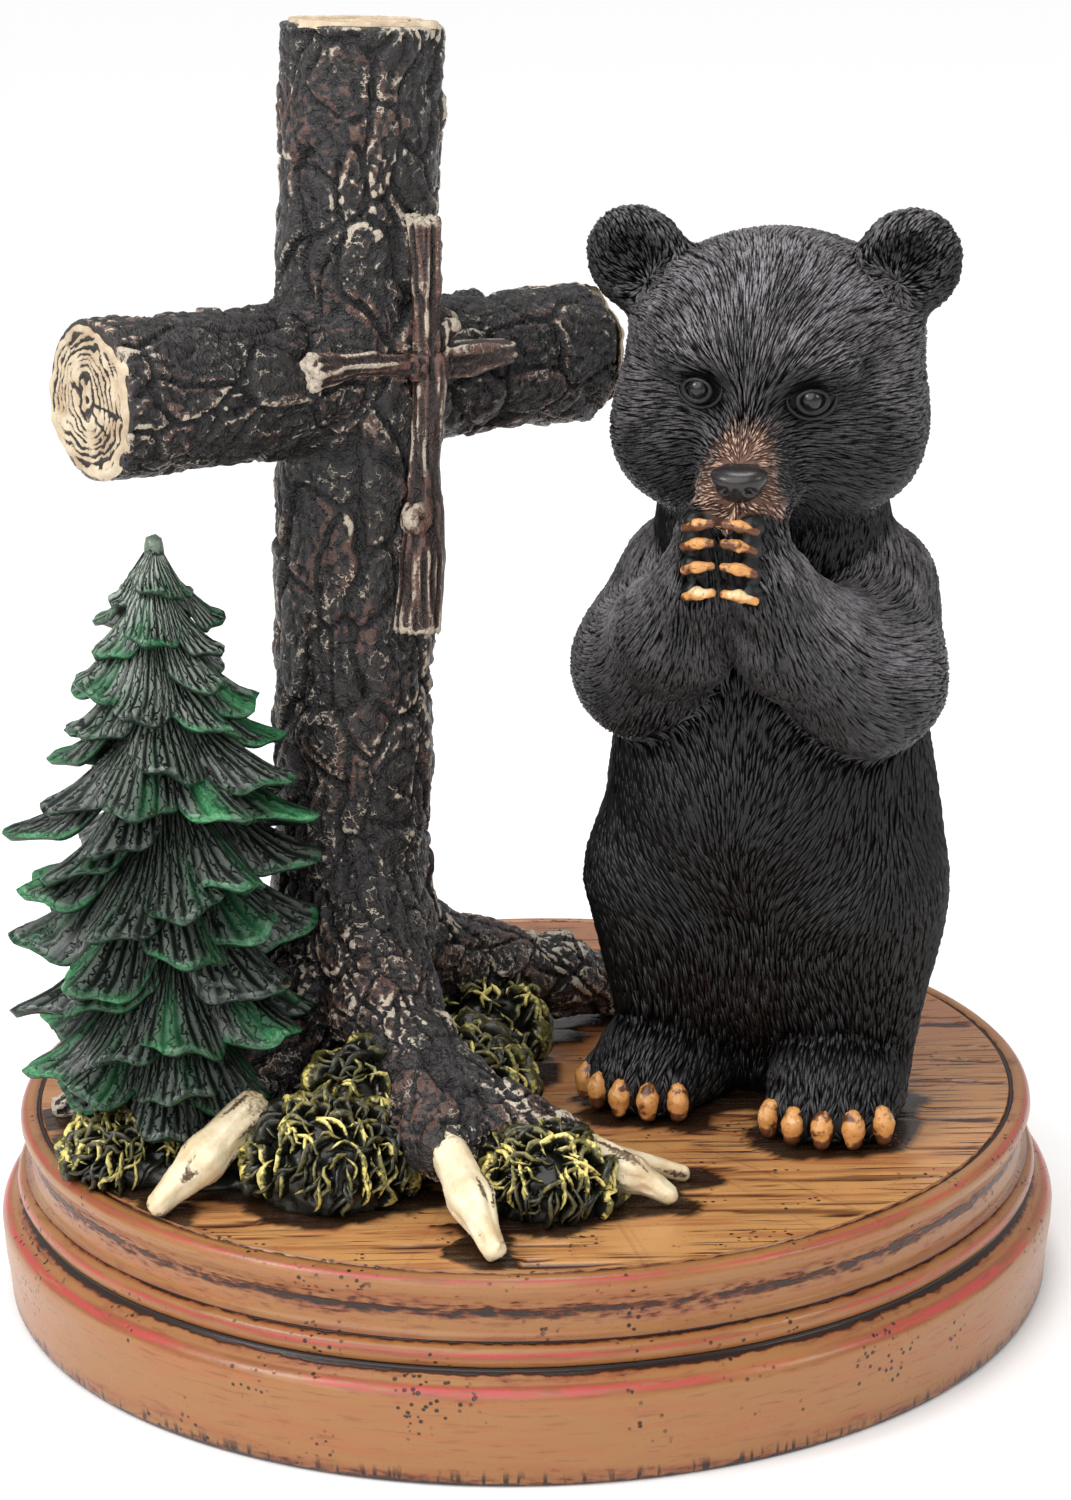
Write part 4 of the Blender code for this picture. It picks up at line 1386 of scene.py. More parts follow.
    def bark_relief(self, points: Array, grain_way: Array, salt: int, fineness: float) -> Array:
        """Work out how far the bark stands out.

        Args:
            points: Points on the wood.
            grain_way: The way the grain runs.
            salt: Picks one of many patterns.
            fineness: How many times finer than on the logs its plates are.

        Returns:
            The height in millimetres, about -1 to 0.8.
        """
        side = unit(np.cross(grain_way, [0.3, 0.9, 0.2]))
        local = np.stack([points @ side, points @ np.cross(grain_way, side), points @ grain_way], 1)
        local = local + 2.4 * drift(local * 0.16, salt)
        edge, number, slant = plates(local * [0.15, 0.15, 0.085] * fineness, salt)
        chip_edge, chip, chip_slant = plates(local * [0.62, 0.62, 0.36] * fineness**0.5, salt + 40)
        crumb = fractal(local * [1.15, 1.15, 0.8], 2, salt + 60)
        relief = 0.6 * (number - 0.5) + 0.8 * slant - 0.95 * (1.0 - ramp(edge, 0.0, 0.14))
        relief += 0.26 * (chip - 0.5) + 0.28 * chip_slant - 0.24 * (1.0 - ramp(chip_edge, 0.0, 0.2))
        return 0.8 * relief + 0.16 * crumb

    def barked(self) -> Skin:
        """Make the bark over logs and roots, plain near each sawn end and the plate.

        Returns:
            The bark, with the mark raised.
        """
        low = (self.x - 50, self.y - 44, PLATE - 2)
        high = (self.x + 48, self.y + 40, PLATE + self.height + 4)
        skin = skinned(self.wood, low, high, self.bark_step, 2)
        points = skin.points
        limbs = self.limbs()
        near = np.stack([distance(points) for distance, _ in limbs], 1)
        share = nearest(near, 0.9)
        share /= share.sum(1, keepdims=True)
        relief = np.zeros(len(points))
        for n, (_, way) in enumerate(limbs):
            close = share[:, n] > 0.03
            fineness = 1.0 if n < 2 else 1.6
            relief[close] += share[close, n] * self.bark_relief(points[close], way, 100 + 13 * n, fineness)
        below_head = self.height / math.cos(self.lean) - (points - self.foot) @ self.up
        along_bar = (points - self.middle) @ self.bar
        in_bar = np.minimum(along_bar + self.bar_left, self.bar_right - along_bar)
        sawn = np.minimum(below_head, np.where(near[:, 1] < near[:, 0] + 1.0, in_bar, 99.0))
        height = points[:, 2] - PLATE
        relief *= ramp(sawn, 0.0, 1.2) * ramp(height, 0.0, 2.0)
        skin.lift(unit(slope(self.wood, points)), relief)
        low_down = 0.02 * ramp(45.0 - height, 0.0, 25.0) - 0.01 * ramp(height, 60.0, 110.0)
        on_bar = ramp(near[:, 0] - near[:, 1], 0.0, 4.0)
        skin.marks["raised"] = skin.standing_out(3) + 0.06 * relief + low_down - 0.035 * on_bar
        return skin

    def sawn_end(self, centre: Array, way: Array, radius: float, salt: int) -> Skin:
        """Make a sawn end with its rings, cracks and chipped rim.

        Args:
            centre: The middle of the log's end.
            way: The way the end faces.
            radius: The end's radius.
            salt: Picks one of many patterns.

        Returns:
            The end's surface in triangles, with the mark groove.
        """
        rings, spokes = self.saw_rings, self.saw_spokes
        side = unit(np.cross(way, [0.1, 0.2, 1.0]))
        other = np.cross(way, side)
        angle = 2 * math.pi * np.arange(spokes) / spokes
        spoke = np.stack([np.cos(angle), np.sin(angle), 0 * angle], 1)
        uneven = 0.075 * soft_noise(spoke * 2.6, salt) + 0.045 * soft_noise(spoke * 7.0, salt + 1)
        rim = radius * (0.95 + uneven)
        share = np.repeat(np.linspace(0.0, 1.0, rings + 1)[1:], spokes)
        reach = share * np.tile(rim, rings)
        flat = reach[:, None] * np.tile(spoke, (rings, 1))
        sway = 1.5 * soft_noise(flat * 0.26, salt + 2) + 0.4 * soft_noise(flat * 0.8, salt + 6)
        ring = np.abs(((reach + sway) / (radius * 0.105)) % 1.0 - 0.5) * 2.0
        groove = ramp(ring, 0.3, 0.7) * (0.85 + 0.6 * soft_noise(flat * 0.4, salt + 3))
        for n in range(4):
            at = 1.75 * n + 0.6 * math.sin(3.1 * n + salt)
            c, s = math.cos(at), math.sin(at)
            aside = np.abs(flat[:, 0] * -s + flat[:, 1] * c + 0.5 * soft_noise(flat * 0.5, salt + 9 + n))
            ahead = flat[:, :2] @ [c, s]
            end = radius * (0.5 + 0.4 * (n % 3) / 2)
            crack = ramp(0.36 - aside, 0.0, 0.2) * ramp(ahead, 1.0, 2.5) * ramp(end - ahead, 0.0, 2.0)
            groove = np.maximum(groove, crack)
        groove = np.clip(groove * (1.0 - 0.8 * ramp(share, 0.8, 0.95)), 0.0, 1.0)
        lift = 0.55 - 0.42 * groove + 0.1 * soft_noise(flat * 1.1, salt + 5) - 0.9 * ramp(share, 0.93, 1.0)
        points = centre + flat[:, :1] * side + flat[:, 1:2] * other + lift[:, None] * way
        faces = lattice(rings, spokes, True)[:, ::-1]
        inner = np.arange(spokes)
        hub = np.stack([np.roll(inner, -1), np.full(spokes, len(points)), inner], 1)
        triangles = np.concatenate([faces[:, [0, 1, 2]], faces[:, [0, 2, 3]], hub])
        points = np.concatenate([points, [centre + 0.3 * way]])
        return Skin(points, triangles, {"groove": np.append(groove, 0.6)})

    def on_cross(self, points: Array) -> Array:
        """Give points as their places along the crossbar, out of the front and up from the twigs' heart."""
        local = points - self.heart
        return np.stack([local @ self.bar, local @ self.front, local @ self.up], 1)

    def twigs(self, points: Array) -> Array:
        """Measure to the small cross of split twigs, its broken nub and the knot on its lower arm.

        Args:
            points: Points, one a row.

        Returns:
            The distance at each point.
        """
        p = self.on_cross(points)
        q = p * [1.0, self.twig_flatness, 1.0]
        ragged = 0.9 * soft_noise(p * 0.9, 41)
        upper = chain(q, [(0.2, 0.0, -1.0, 1.9), (0.3, 0.0, 3.2, 1.8), (0.1, 0.2, 11.0, 2.1),
                          (-0.35, 0.3, 20.0, 2.6)], 1.0)
        upper = overlap(upper, p[:, 2] - self.twig_above - ragged, 0.3)
        lower = chain(q, [(1.4, 1.0, 0.0, 1.5), (0.6, 0.8, -2.9, 2.0), (0.3, 0.4, -8.8, 2.1),
                          (-0.4, 0.2, -15.5, 2.4), (-0.4, 0.2, -19.5, 2.8), (-0.5, 0.1, -26.2, 3.2),
                          (-1.0, 0.0, -37.0, 3.5)], 1.0)
        lower = overlap(lower, -self.twig_below - p[:, 2] + 0.3 * ragged, 0.3)
        left = chain(q, [(1.4, 1.0, 0.0, 1.5), (-1.0, 0.9, -0.3, 1.5), (-8.9, 0.3, 0.6, 1.35),
                         (-15.0, 0.2, 0.4, 1.9), (-19.2, 0.3, 0.1, 2.9)], 1.0)
        left = overlap(left, -self.twig_left - p[:, 0] + 0.5 * ragged, 0.3)
        right = chain(q, [(3.3, 0.7, 0.1, 2.3), (5.2, 0.6, 0.2, 2.5), (12.7, 0.2, 0.75, 2.0)], 1.0)
        right = carve(right, limb(p, (2.0, 3.0, 0.6), (11.5, 2.4, 1.6), 0.9, 0.6), 0.3)
        mass = np.minimum(merge(upper, right, 0.5), merge(lower, left, 0.3))
        mass = merge(mass, limb(q, (1.2, 0.2, 2.6), (4.2, 0.6, 4.8), 1.3, 1.25), 0.4)
        inward = np.array([0.0, 0.9, 0.0])
        mass = merge(mass, ball(p, self.knot - inward, (2.1, 1.6, 2.2)), 0.5)
        return carve(mass, ball(p, self.knot + inward, (0.75, 1.0, 0.85)), 0.3)

    def twig_skin(self) -> Skin:
        """Make the twig cross, grooved along its arms and pale at its broken ends and round its knot.

        Returns:
            The twig cross, with the mark raised.
        """
        skin = skinned(self.twigs, self.heart - [21, 20, 42], self.heart + [22, 20, 26], 0.66, 1)
        local = self.on_cross(skin.points)
        lying = ramp(np.abs(local[:, 0]), 2.8, 3.6) * ramp(6.0 - np.abs(local[:, 2]), 0.0, 1.0)
        stand = 0.8 - 1.6 * np.abs(soft_noise(local * [1.0, 1.0, 0.07], 7))
        stand += 0.9 * soft_noise(local * [1.7, 1.7, 0.14], 9)
        lie = 0.8 - 1.6 * np.abs(soft_noise(local * [0.06, 0.8, 0.8], 8))
        lie += 0.8 * soft_noise(local * [0.12, 1.5, 1.5], 10)
        relief = 0.42 * (stand * (1 - lying) + lie * lying) - 0.15
        skin.lift(unit(slope(self.twigs, skin.points)), relief)
        from_knot = far_from(local, self.knot, [1.0, 0.4, 0.9])
        ring = 2.0 * np.exp(-(((from_knot - 1.3) / 0.55) ** 2)) * ramp(local[:, 1], 1.2, 2.0)
        pale = np.maximum.reduce([
            ring,
            ramp(local[:, 2], self.twig_above - 1.6, self.twig_above - 0.4),
            ramp(-local[:, 2], self.twig_below - 1.0, self.twig_below),
            ramp(-local[:, 0], self.twig_left - 1.3, self.twig_left - 0.3),
            ramp(1.4 - far_from(local, (4.6, 0.8, 5.0)), 0, 0.8),
        ])
        skin.marks["raised"] = 1.2 * skin.standing_out(4) + 0.08 * relief + 0.3 * pale
        return skin

    def tip_skin(self, knots: Knots, salt: int) -> Skin:
        """Make a bare root tip, whittled along its length.

        Args:
            knots: The tip's knots in the model's places.
            salt: Picks one of many patterns.

        Returns:
            The tip, with the mark groove.
        """

        def shape(points: Array) -> Array:
            """Measure to the tip above the plate."""
            return np.maximum(chain(points, knots, 1.5), PLATE + 0.1 - points[:, 2])

        spots = np.array([knot[:3] for knot in knots])
        run = spots[-1] - spots[0]
        way = unit(run)
        skin = skinned(shape, spots.min(0) - 4.5, spots.max(0) + 4.5, 0.9, 1)
        local = skin.points - np.outer(skin.points @ way, way) * 0.88
        skin.lift(slope(shape, skin.points), 0.3 * fractal(local * 1.15, 2, 70 + salt))
        share = np.clip((skin.points - spots[0]) @ way / np.linalg.norm(run), 0.0, 1.0)
        crack = 0.6 * ramp(-fractal(local * 0.95, 2, 90 + salt), 0.25, 0.8)
        stain = np.maximum(1 - ramp(share, 0.0, 0.3), 0.6 * ramp(share, 0.93, 1.0))
        skin.marks["groove"] = np.maximum(crack, 0.42 * stain)
        return skin

    def mound_skin(self) -> Skin:
        """Make the dark, lumpy ground of the mounds.

        Returns:
            The ground, with the marks of moss.
        """
        low = (self.x - 45, self.y - 54, PLATE - 2)
        high = (self.x + 40, self.y + 24, PLATE + 22)
        skin = skinned(self.moss, low, high, 1.7, 1)
        edge, _, tilt = plates(skin.points * 0.42, 31)
        relief = 0.7 * ramp(edge, 0.0, 0.4) - 0.7 + 0.5 * tilt + 0.35 * fractal(skin.points * 0.8, 2, 5)
        skin.lift(slope(self.moss, skin.points), relief * ramp(skin.points[:, 2] - PLATE, 0.0, 1.0))
        skin.marks["crest"] = 0.25 * ramp(skin.standing_out(3), 0.0, 0.3)
        skin.marks["bright"] = np.zeros(len(skin.points))
        return skin

    def strand(self, seat: Array, out: Array, bright: float, numbers: Array) -> Skin:
        """Make one curled strand of moss, a closed tube that hangs down its mound.

        Args:
            seat: Where it sits.
            out: The way out of its mound there.
            bright: How bright its mound is, from 0 to 1, lower under the pine as painted shade.
            numbers: Six random numbers from 0 to 1.

        Returns:
            The strand, with the marks crest and bright.
        """
        sides, stations = self.strand_sides, self.strand_stations
        heading = 6.3 * numbers[0]
        down = np.array([0, 0, -1.0])
        along = unit(np.cross(out, [math.cos(heading), math.sin(heading), 0.3]))
        along = unit(along * 0.7 + (down - out * (down @ out)) * 0.9)
        share = np.linspace(0.0, 1.0, stations)
        arch = np.sin(math.pi * share)
        curl = np.sin(2 * math.pi * (share * (0.8 + 0.7 * numbers[4]) + numbers[0]))
        line = (seat + np.outer((share - 0.5) * (2.6 + 2.9 * numbers[1]), along)
                + np.outer(0.1 + (0.5 + 0.9 * numbers[3]) * arch, out)
                + np.outer((0.15 + 0.5 * numbers[2]) * curl, np.cross(out, along)))
        line[:, 2] = np.maximum(line[:, 2], PLATE + 0.45)
        radius = (0.95 + 0.75 * numbers[5]) * np.sin(math.pi * (share * 0.86 + 0.07)) ** 0.6
        tangent = unit(np.gradient(line, axis=0))
        left = unit(np.cross(tangent, out))
        angle = 2 * math.pi * (np.arange(sides) + 0.5) / sides
        aside, over = 0.3 * np.cos(angle)[:, None] * left[:, None], np.sin(angle)[:, None]
        tube = line[:, None] + radius[:, None, None] * (aside + over * np.cross(left, tangent)[:, None])
        tube = tube.reshape(-1, 3)
        tube[:, 2] = np.maximum(tube[:, 2], PLATE + 0.05)
        first, last = np.array([[0, 5, 4, 3], [0, 3, 2, 1]]), np.array([[0, 1, 2, 3], [0, 3, 4, 5]])
        faces = np.concatenate([lattice(stations, sides, True), first, last + (stations - 1) * sides])
        patch = 0.5 + 1.5 * soft_noise(seat[None] * 0.33, 44)[0]
        # The brushed yellow, more on strands that face up; a dim mound's lower number is painted shade under
        # the pine.
        lit = bright * (0.5 + 0.5 * numbers[4]) * (0.5 + 0.5 * max(out[2], 0.0))
        lit *= 3.4 * min(max(patch, 0.05), 1.0)
        lit = min(lit if numbers[0] > 0.4 else 0.12 * lit, 1.0)
        crest = np.clip(np.sin(angle) * 0.8 + 0.3 * arch[:, None], 0, 1).ravel()
        return Skin(tube, faces, {"crest": crest, "bright": np.full(len(tube), lit)})

    def strands(self) -> Skin:
        """Scatter strands of moss over the bright mounds, none in the wood or below the plate.

        Returns:
            The strands.
        """
        draw = np.random.default_rng(11)
        mounds = [mound for mound in self.mounds() if mound[2] > 0]
        weight = np.array([radii[0] * radii[1] for _, radii, _ in mounds])
        picks = draw.choice(len(mounds), self.moss_strands, p=weight / weight.sum())
        ways = draw.normal(size=(self.moss_strands, 3))
        ways[:, 2] = np.abs(ways[:, 2]) * 0.9
        made = []
        for pick, way in zip(picks, unit(ways)):
            centre, radii, bright = mounds[pick]
            seat = self.foot + centre + way * radii
            numbers = draw.random(6)
            if seat[2] >= PLATE + 0.2 and self.wood(seat[None])[0] >= -0.6:
                made.append(self.strand(seat, unit(way / np.array(radii)), bright, numbers))
        return gathered(made)

    def build(self) -> None:
        """Build the cross and everything on its foot."""
        skin = self.barked()
        high = skin.points[skin.faces].mean(1)[:, 2] > PLATE + self.root_top
        bark, sawn, moss = BarkPaint().material(), SawnPaint().material(), MossPaint().material()
        twig = BarkPaint("twig_paint", (0.010, 0.007, 0.006), (0.045, 0.027, 0.023), (0.17, 0.085, 0.062),
                         cover=0.56, roughness=0.34).material()
        bare = SawnPaint("peeled_paint", (0.86, 0.78, 0.56), (0.66, 0.46, 0.24), (0.10, 0.05, 0.025),
                         0.4).material()
        left, right = self.middle - self.bar * self.bar_left, self.middle + self.bar * self.bar_right
        tips = [self.tip_skin(self.from_foot(knots), n) for n, knots in enumerate(self.peeled())]
        piece("log_bark", skin.only(high), bark, "log_cross")
        parts = [
            ("root_bark", skin.only(~high), bark),
            ("sawn_end_left", self.sawn_end(left, -self.bar, self.left_radius, 5), sawn),
            ("sawn_end_right", self.sawn_end(right, self.bar, self.right_radius, 21), sawn),
            ("sawn_head", self.sawn_end(self.head, self.up, self.log_radius, 33), sawn),
            ("twig_cross", self.twig_skin(), twig),
            ("peeled_root_tips", gathered(tips), bare),
            ("moss_mounds", self.mound_skin(), moss),
            ("moss_strands", self.strands(), moss),
        ]
        for name, surface, finish in parts:
            piece(name, surface, finish)


# The pine.


@dataclass
class Pine:
    """The pine: a slim heart with tiers of drooping, grooved boughs."""

    x: float = -47.5
    y: float = -25.004
    height: float = 86.0
    radius: float = 20.6
    stem_radius: float = 5.5
    heart_radius: float = 6.4
    tip_radius: float = 1.3
    skirt: float = 10.0
    crown: float = 4.5
    closing: float = 0.36
    top_reach: float = 3.6
    ring_rise: float = 7.0
    fan: float = math.radians(40.0)
    needles: int = 11
    rows: int = 10
    columns: int = 45

    def heart(self, points: Array) -> Array:
        """Measure to the stem and the slim core that the boughs stand on.

        Args:
            points: Placed points, one a row.

        Returns:
            The distance at each point.
        """
        knots = [(0, 0, -3.0, self.stem_radius), (0, 0, self.skirt - 6.0, self.stem_radius),
                 (0, 0, self.skirt - 1.0, self.heart_radius), (0, 0, self.height - 1.0, self.tip_radius)]
        return chain(points - [self.x, self.y, PLATE], knots, 1.0)

    def heart_reach(self, height: float) -> float:
        """Give the core's radius at a height over the plate."""
        share = (height - self.skirt) / (self.height - self.skirt)
        return self.heart_radius + (self.tip_radius - self.heart_radius) * share

    def reach(self, height: float) -> float:
        """Give how far the boughs reach.

        Args:
            height: The height over the plate.

        Returns:
            The reach, less under the skirt and towards the crown.
        """
        below = self.height - self.crown - height
        slim = self.top_reach + self.closing * below + 2.6 * min(below / 8.0, 1.0)
        return min(self.radius, slim) - 3.0 * max(0.0, 1.0 - (height - self.skirt) / 7.0)

    def bough(self, angle: float, root: tuple[float, float], tip: tuple[float, float], half_width: float,
              salt: int) -> Skin:
        """Make one bough as a closed fan of needles.

        Args:
            angle: Which way it points.
            root: The radius and height of its root.
            tip: The radius and height of its tip.
            half_width: Half its width at the widest.
            salt: Picks one of many needle patterns.

        Returns:
            The bough's surface, with the marks needle, comb and edge.
        """
        u = 1.0 - (1.0 - np.linspace(0.0, 1.0, self.rows)[:, None]) ** 1.3
        v = np.linspace(-1.0, 1.0, self.columns)[None, :]
        phase = v * self.needles / 2 + 0.12 * np.sin(3.0 * v + salt) + 0.24 * np.sin(6.0 * u + 3.0 * v + salt)
        needle = np.abs(np.cos(math.pi * phase)) ** 0.6
        ragged = 0.035 * np.sin(4.0 * v + 1.3 * salt) + 0.025 * np.sin(11.0 * v + 0.7 * salt)
        along = u * (1.0 - 0.5 * np.abs(v) ** 1.8 + ragged * ramp(u, 0.5, 1.0))
        flare = 0.4 * ramp(along, 0.78, 1.0)
        run, fall = tip[0] - root[0], root[1] - tip[1]
        spread = half_width * along * np.sin(v * self.fan) / 0.376
        out = root[0] + run * (0.8 * along + 0.2 * along**2) * np.cos(0.6 * v * self.fan)
        out = out - 0.06 * spread * spread + flare - 0.4
        droop = 0.085 * spread * spread + 0.3 * math.sin(5.3 * salt) * spread
        sheet = root[1] - fall * (1.25 * along - 0.25 * along**2) + flare - droop
        spine = 0.6 * np.exp(-((v / 0.10) ** 2)) * ramp(u, 0.1, 0.5)
        lip = 0.12 * np.exp(-(((u - 0.95) / 0.04) ** 2))
        depth = 0.6 * ramp(u, 0.04, 0.25) * (1.0 - 0.3 * ramp(u, 0.9, 1.0))
        thick = (1.7 - 1.2 * np.abs(v) ** 1.5) * ramp(u, 0.0, 0.25) * (1.0 - 0.75 * ramp(u, 0.55, 1.0)) + 0.35
        inward = 1.0 - 0.05 * ramp(u, 0.7, 1.0)
        top = np.stack([out, spread, sheet + spine + lip - depth * (1.0 - needle)], -1)
        under = np.stack([root[0] + (out - root[0]) * inward, spread * inward, sheet - thick], -1)
        points = np.concatenate([top.reshape(-1, 3), under.reshape(-1, 3)])

        count = self.rows * self.columns
        number = np.arange(count).reshape(self.rows, self.columns)
        border = np.concatenate([number[0], number[1:, -1], number[-1, -2::-1], number[-2:0:-1, 0]])
        after = np.roll(border, -1)
        rim = np.stack([border, border + count, after + count, after], 1)
        upper = lattice(self.rows, self.columns)
        faces = np.concatenate([upper, upper[:, ::-1] + count, rim])

        lush = 0.72 + 0.45 * math.sin(1.7 * salt + 0.6)
        end = ramp(u, 0.9, 1.0)
        side = 0.5 * ramp(np.abs(v), 0.9, 1.0) * ramp(u, 0.3, 0.8)
        streak = 0.9 * np.exp(-(((v - 0.35 * math.sin(2.9 * salt)) / 0.22) ** 2)) * ramp(u, 0.2, 0.75)
        edge = lush * np.maximum(np.maximum(end, side), streak)
        marks = {
            "needle": np.concatenate([needle.ravel(), np.full(count, 0.15)]),
            "comb": np.concatenate([phase.ravel(), np.full(count, 0.25)]),
            "edge": np.concatenate([edge.ravel(), (0.55 * end + 0 * v).ravel()]),
        }
        return Skin(spun(points, 2, angle) + [self.x, self.y, PLATE], faces, marks)

    def boughs(self, cross: LogCross) -> Skin:
        """Make every tier of boughs, each bough drawn in until its tip clears the cross.

        Args:
            cross: The cross beside the pine.

        Returns:
            The boughs.
        """
        draw = np.random.default_rng(4)
        made, tier, height = [], 0, self.skirt
        while height < self.height - self.crown:
            reach = self.reach(height)
            size = reach / self.radius
            half = 2.6 + 3.6 * size
            count = round(2 * math.pi * reach / (2.4 * half))
            for n in range(count):
                aside, rise, longer, wider = draw.uniform(-1.0, 1.0, 4)
                angle = 2 * math.pi * (n + 0.5 * (tier % 2) + 0.22 * aside) / count + 0.35 * tier
                level = height + (0.4 + 2.1 * size) * (0.7 * rise + (0.8 if n % 2 else -0.8))
                own = min(reach * (1.0 + 0.05 * size + 0.13 * longer), 1.04 * self.radius)
                way = np.array([math.cos(angle), math.sin(angle), 0.0])
                foot = np.array([self.x, self.y, PLATE + level])
                for _ in range(24):
                    if cross.wood((foot + way * own)[None])[0] > CASTING_GAP + 0.4:
                        break
                    own -= 0.5
                start = min(level + 7.0 + 6.4 * size, self.height - 0.6)
                root = (max(self.heart_reach(start) - 0.6, 0.3), start)
                tip = (max(own, root[0] + 1.0), level)
                made.append(self.bough(angle, root, tip, half * (1.0 + 0.12 * wider), len(made)))
            height += self.ring_rise * (0.82 + 0.18 * size)
            tier += 1
        return gathered(made)

    def core(self) -> Skin:
        """Make the dark heart and stem.

        Returns:
            The core, with the marks of the boughs.
        """
        low = (self.x - 10, self.y - 10, PLATE + 0.05)
        high = (self.x + 10, self.y + 10, PLATE + self.height + 2)
        skin = skinned(self.heart, low, high, 1.2)
        skin.points[:, 2] = np.maximum(skin.points[:, 2], PLATE + 0.1)
        height = skin.points[:, 2] - PLATE
        # The apex is paler too, as painted top light.
        skin.marks["needle"] = 0.1 + 0.7 * ramp(height, self.height - 5, self.height - 1)
        skin.marks["comb"] = np.full(len(height), 0.25)
        skin.marks["edge"] = 0.4 * ramp(height, self.height - 4, self.height)
        return skin

    def build(self, cross: LogCross) -> None:
        """Build the pine.

        Args:
            cross: The cross beside it.
        """
        finish = PinePaint().material()
        piece("pine_heart", self.core(), finish, "pine_tree")
        piece("pine_boughs", self.boughs(cross), finish)


# The bear.


@dataclass
class Bear:
    """The bear: its masses are given for one 126 mm tall that faces -Y with its feet at the origin."""

    x: float = 34.58
    y: float = -10.488
    turn: float = math.radians(-19.0)
    height: float = 126.0
    drawn_height: float = 126.0
    head_turn: float = math.radians(6.0)
    head_nod: float = math.radians(9.0)
    head_lift: float = 0.826
    head_aside: float = 1.45
    paw_aside: float = 2.58
    skin_step: float = 1.7
    skin_sink: float = 0.16
    head_fur_step: float = 0.73
    body_fur_step: float = 1.16
    fur_parting: float = 58.0
    fur_overlap: float = 4.0
    stroke_sink: float = 0.22

    def __post_init__(self) -> None:
        """Work out where the bear stands and where its head's middle is."""
        self.seat = np.array([self.x, self.y, PLATE + SEAT_GAP])
        self.head_middle = np.array([self.head_aside, -4.5, self.head_lift * self.drawn_height])

    def placed(self, points: Array) -> Array:
        """Stand points of the bear's own frame on the plinth."""
        return spun(points, 2, self.turn) + self.seat

    def own_frame(self, points: Array) -> Array:
        """Give placed points in the bear's own frame."""
        return spun(points - self.seat, 2, -self.turn)

    def in_head(self, points: Array) -> Array:
        """Give points of the bear's frame in its head's frame."""
        return spun(spun(points - self.head_middle, 2, -self.head_turn), 0, -self.head_nod)

    def out_of_head(self, points: Array) -> Array:
        """Give points of the head's frame in the bear's frame."""
        return spun(spun(points, 0, self.head_nod), 2, self.head_turn) + self.head_middle

    def head(self, p: Array) -> Array:
        """Measure to the head: skull, cheeks, brow, chin, muzzle, eye hollows and cupped ears.

        Args:
            p: Points of the head's frame.

        Returns:
            The distance at each point.
        """
        mass = heaped(
            ball(p, (0.5, 1.0, 1.6), (19.5, 18.0, 17.0)),
            (ball(p, (0.8, 2.0, 6.4), (18.8, 14.0, 11.3)), 3.0),
            (ball(p, (-10.2, -3.5, -6.5), (10.8, 11.5, 10.5)), 5.0),
            (ball(p, (10.2, -3.5, -6.5), (10.8, 11.5, 10.5)), 5.0),
            (ball(p, (0, -5.0, 7.5), (12.5, 12.5, 10.5)), 5.0),
            (ball(p, (0, -3.0, -11.5), (12.0, 12.0, 8.0)), 5.0),
            (limb(p, (0, -10.0, -3.5), (0, -21.8, -8.3), 8.0, 6.4), 4.5),
        )
        for side in SIDES:
            eye = self.eye_middle(side)
            mass = merge(mass, ball(p, eye + [side, 1.9, 5.0], (5.0, 2.5, 2.3), 0.0, side * 0.4), 3.0)
            mass = carve(mass, ball(p, eye + [-side * 0.3, -2.5, -0.1], (3.8, 2.5, 2.8)), 2.0)
            ear = ball(p, (side * 17.9 + 0.3, 2.0, 14.9), (6.7, 3.6, 7.5), 0.0, side * 0.55)
            cup = ball(p, (side * 17.6 + 0.3, -1.9, 14.6), (4.5, 3.2, 5.2), 0.0, side * 0.55)
            mass = merge(mass, carve(ear, cup, 1.0), 2.2)
        return mass

    def arm_knots(self, side: int) -> list[tuple[Spot, float]]:
        """List an arm's joints.

        Args:
            side: Which arm.

        Returns:
            The joints from shoulder to hand, each with its radius.
        """
        return [
            ((side * 12.2 + 0.5, 2.5, 73.5), 10.0),
            ((side * 15.0 + 0.8, -8.8, 64.6), 10.1),
            ((self.paw_aside / 2 + side * 8.0, -21.0, 72.5), 7.8),
            ((self.paw_aside + side * 5.0, -26.4, 80.0), 5.0),
            ((self.paw_aside + side * 3.8, -28.2, 86.0), 3.5),
        ]

    def arm(self, p: Array, side: int) -> Array:
        """Measure to one arm, folded up from the shoulder to the paw under the nose.

        Args:
            p: Points of the bear's frame.
            side: Which arm.

        Returns:
            The distance at each point.
        """
        (shoulder, r0), (elbow, r1), (middle, r2), (wrist, r3), (hand, r4) = self.arm_knots(side)
        return heaped(
            limb(p, shoulder, elbow, r0, r1),
            (limb(p, elbow, middle, 9.6, r2), 4.0),
            (limb(p, middle, wrist, 7.6, r3), 3.0),
            (limb(p, wrist, hand, 4.8, r4), 3.0),
        )

    def fingers(self, side: int) -> list[tuple[Spot, Spot, Spot]]:
        """List the fingers of one folded paw, lowest first.

        Args:
            side: Which paw.

        Returns:
            Each finger's knuckle, its tip and the end of its claw.
        """
        made = []
        for row in range(4):
            rise = 80.6 + 3.9 * row - 0.3 * row * row
            reach = -33.0 + 0.2 * (row - 1.5) ** 2
            made.append(((self.paw_aside + side * (6.2 - 0.4 * row), reach + 5.0, rise - 0.4),
                         (self.paw_aside + side * 3.7, reach, rise),
                         (self.paw_aside + side * 0.9, reach - 0.9, rise + 0.3)))
        return made

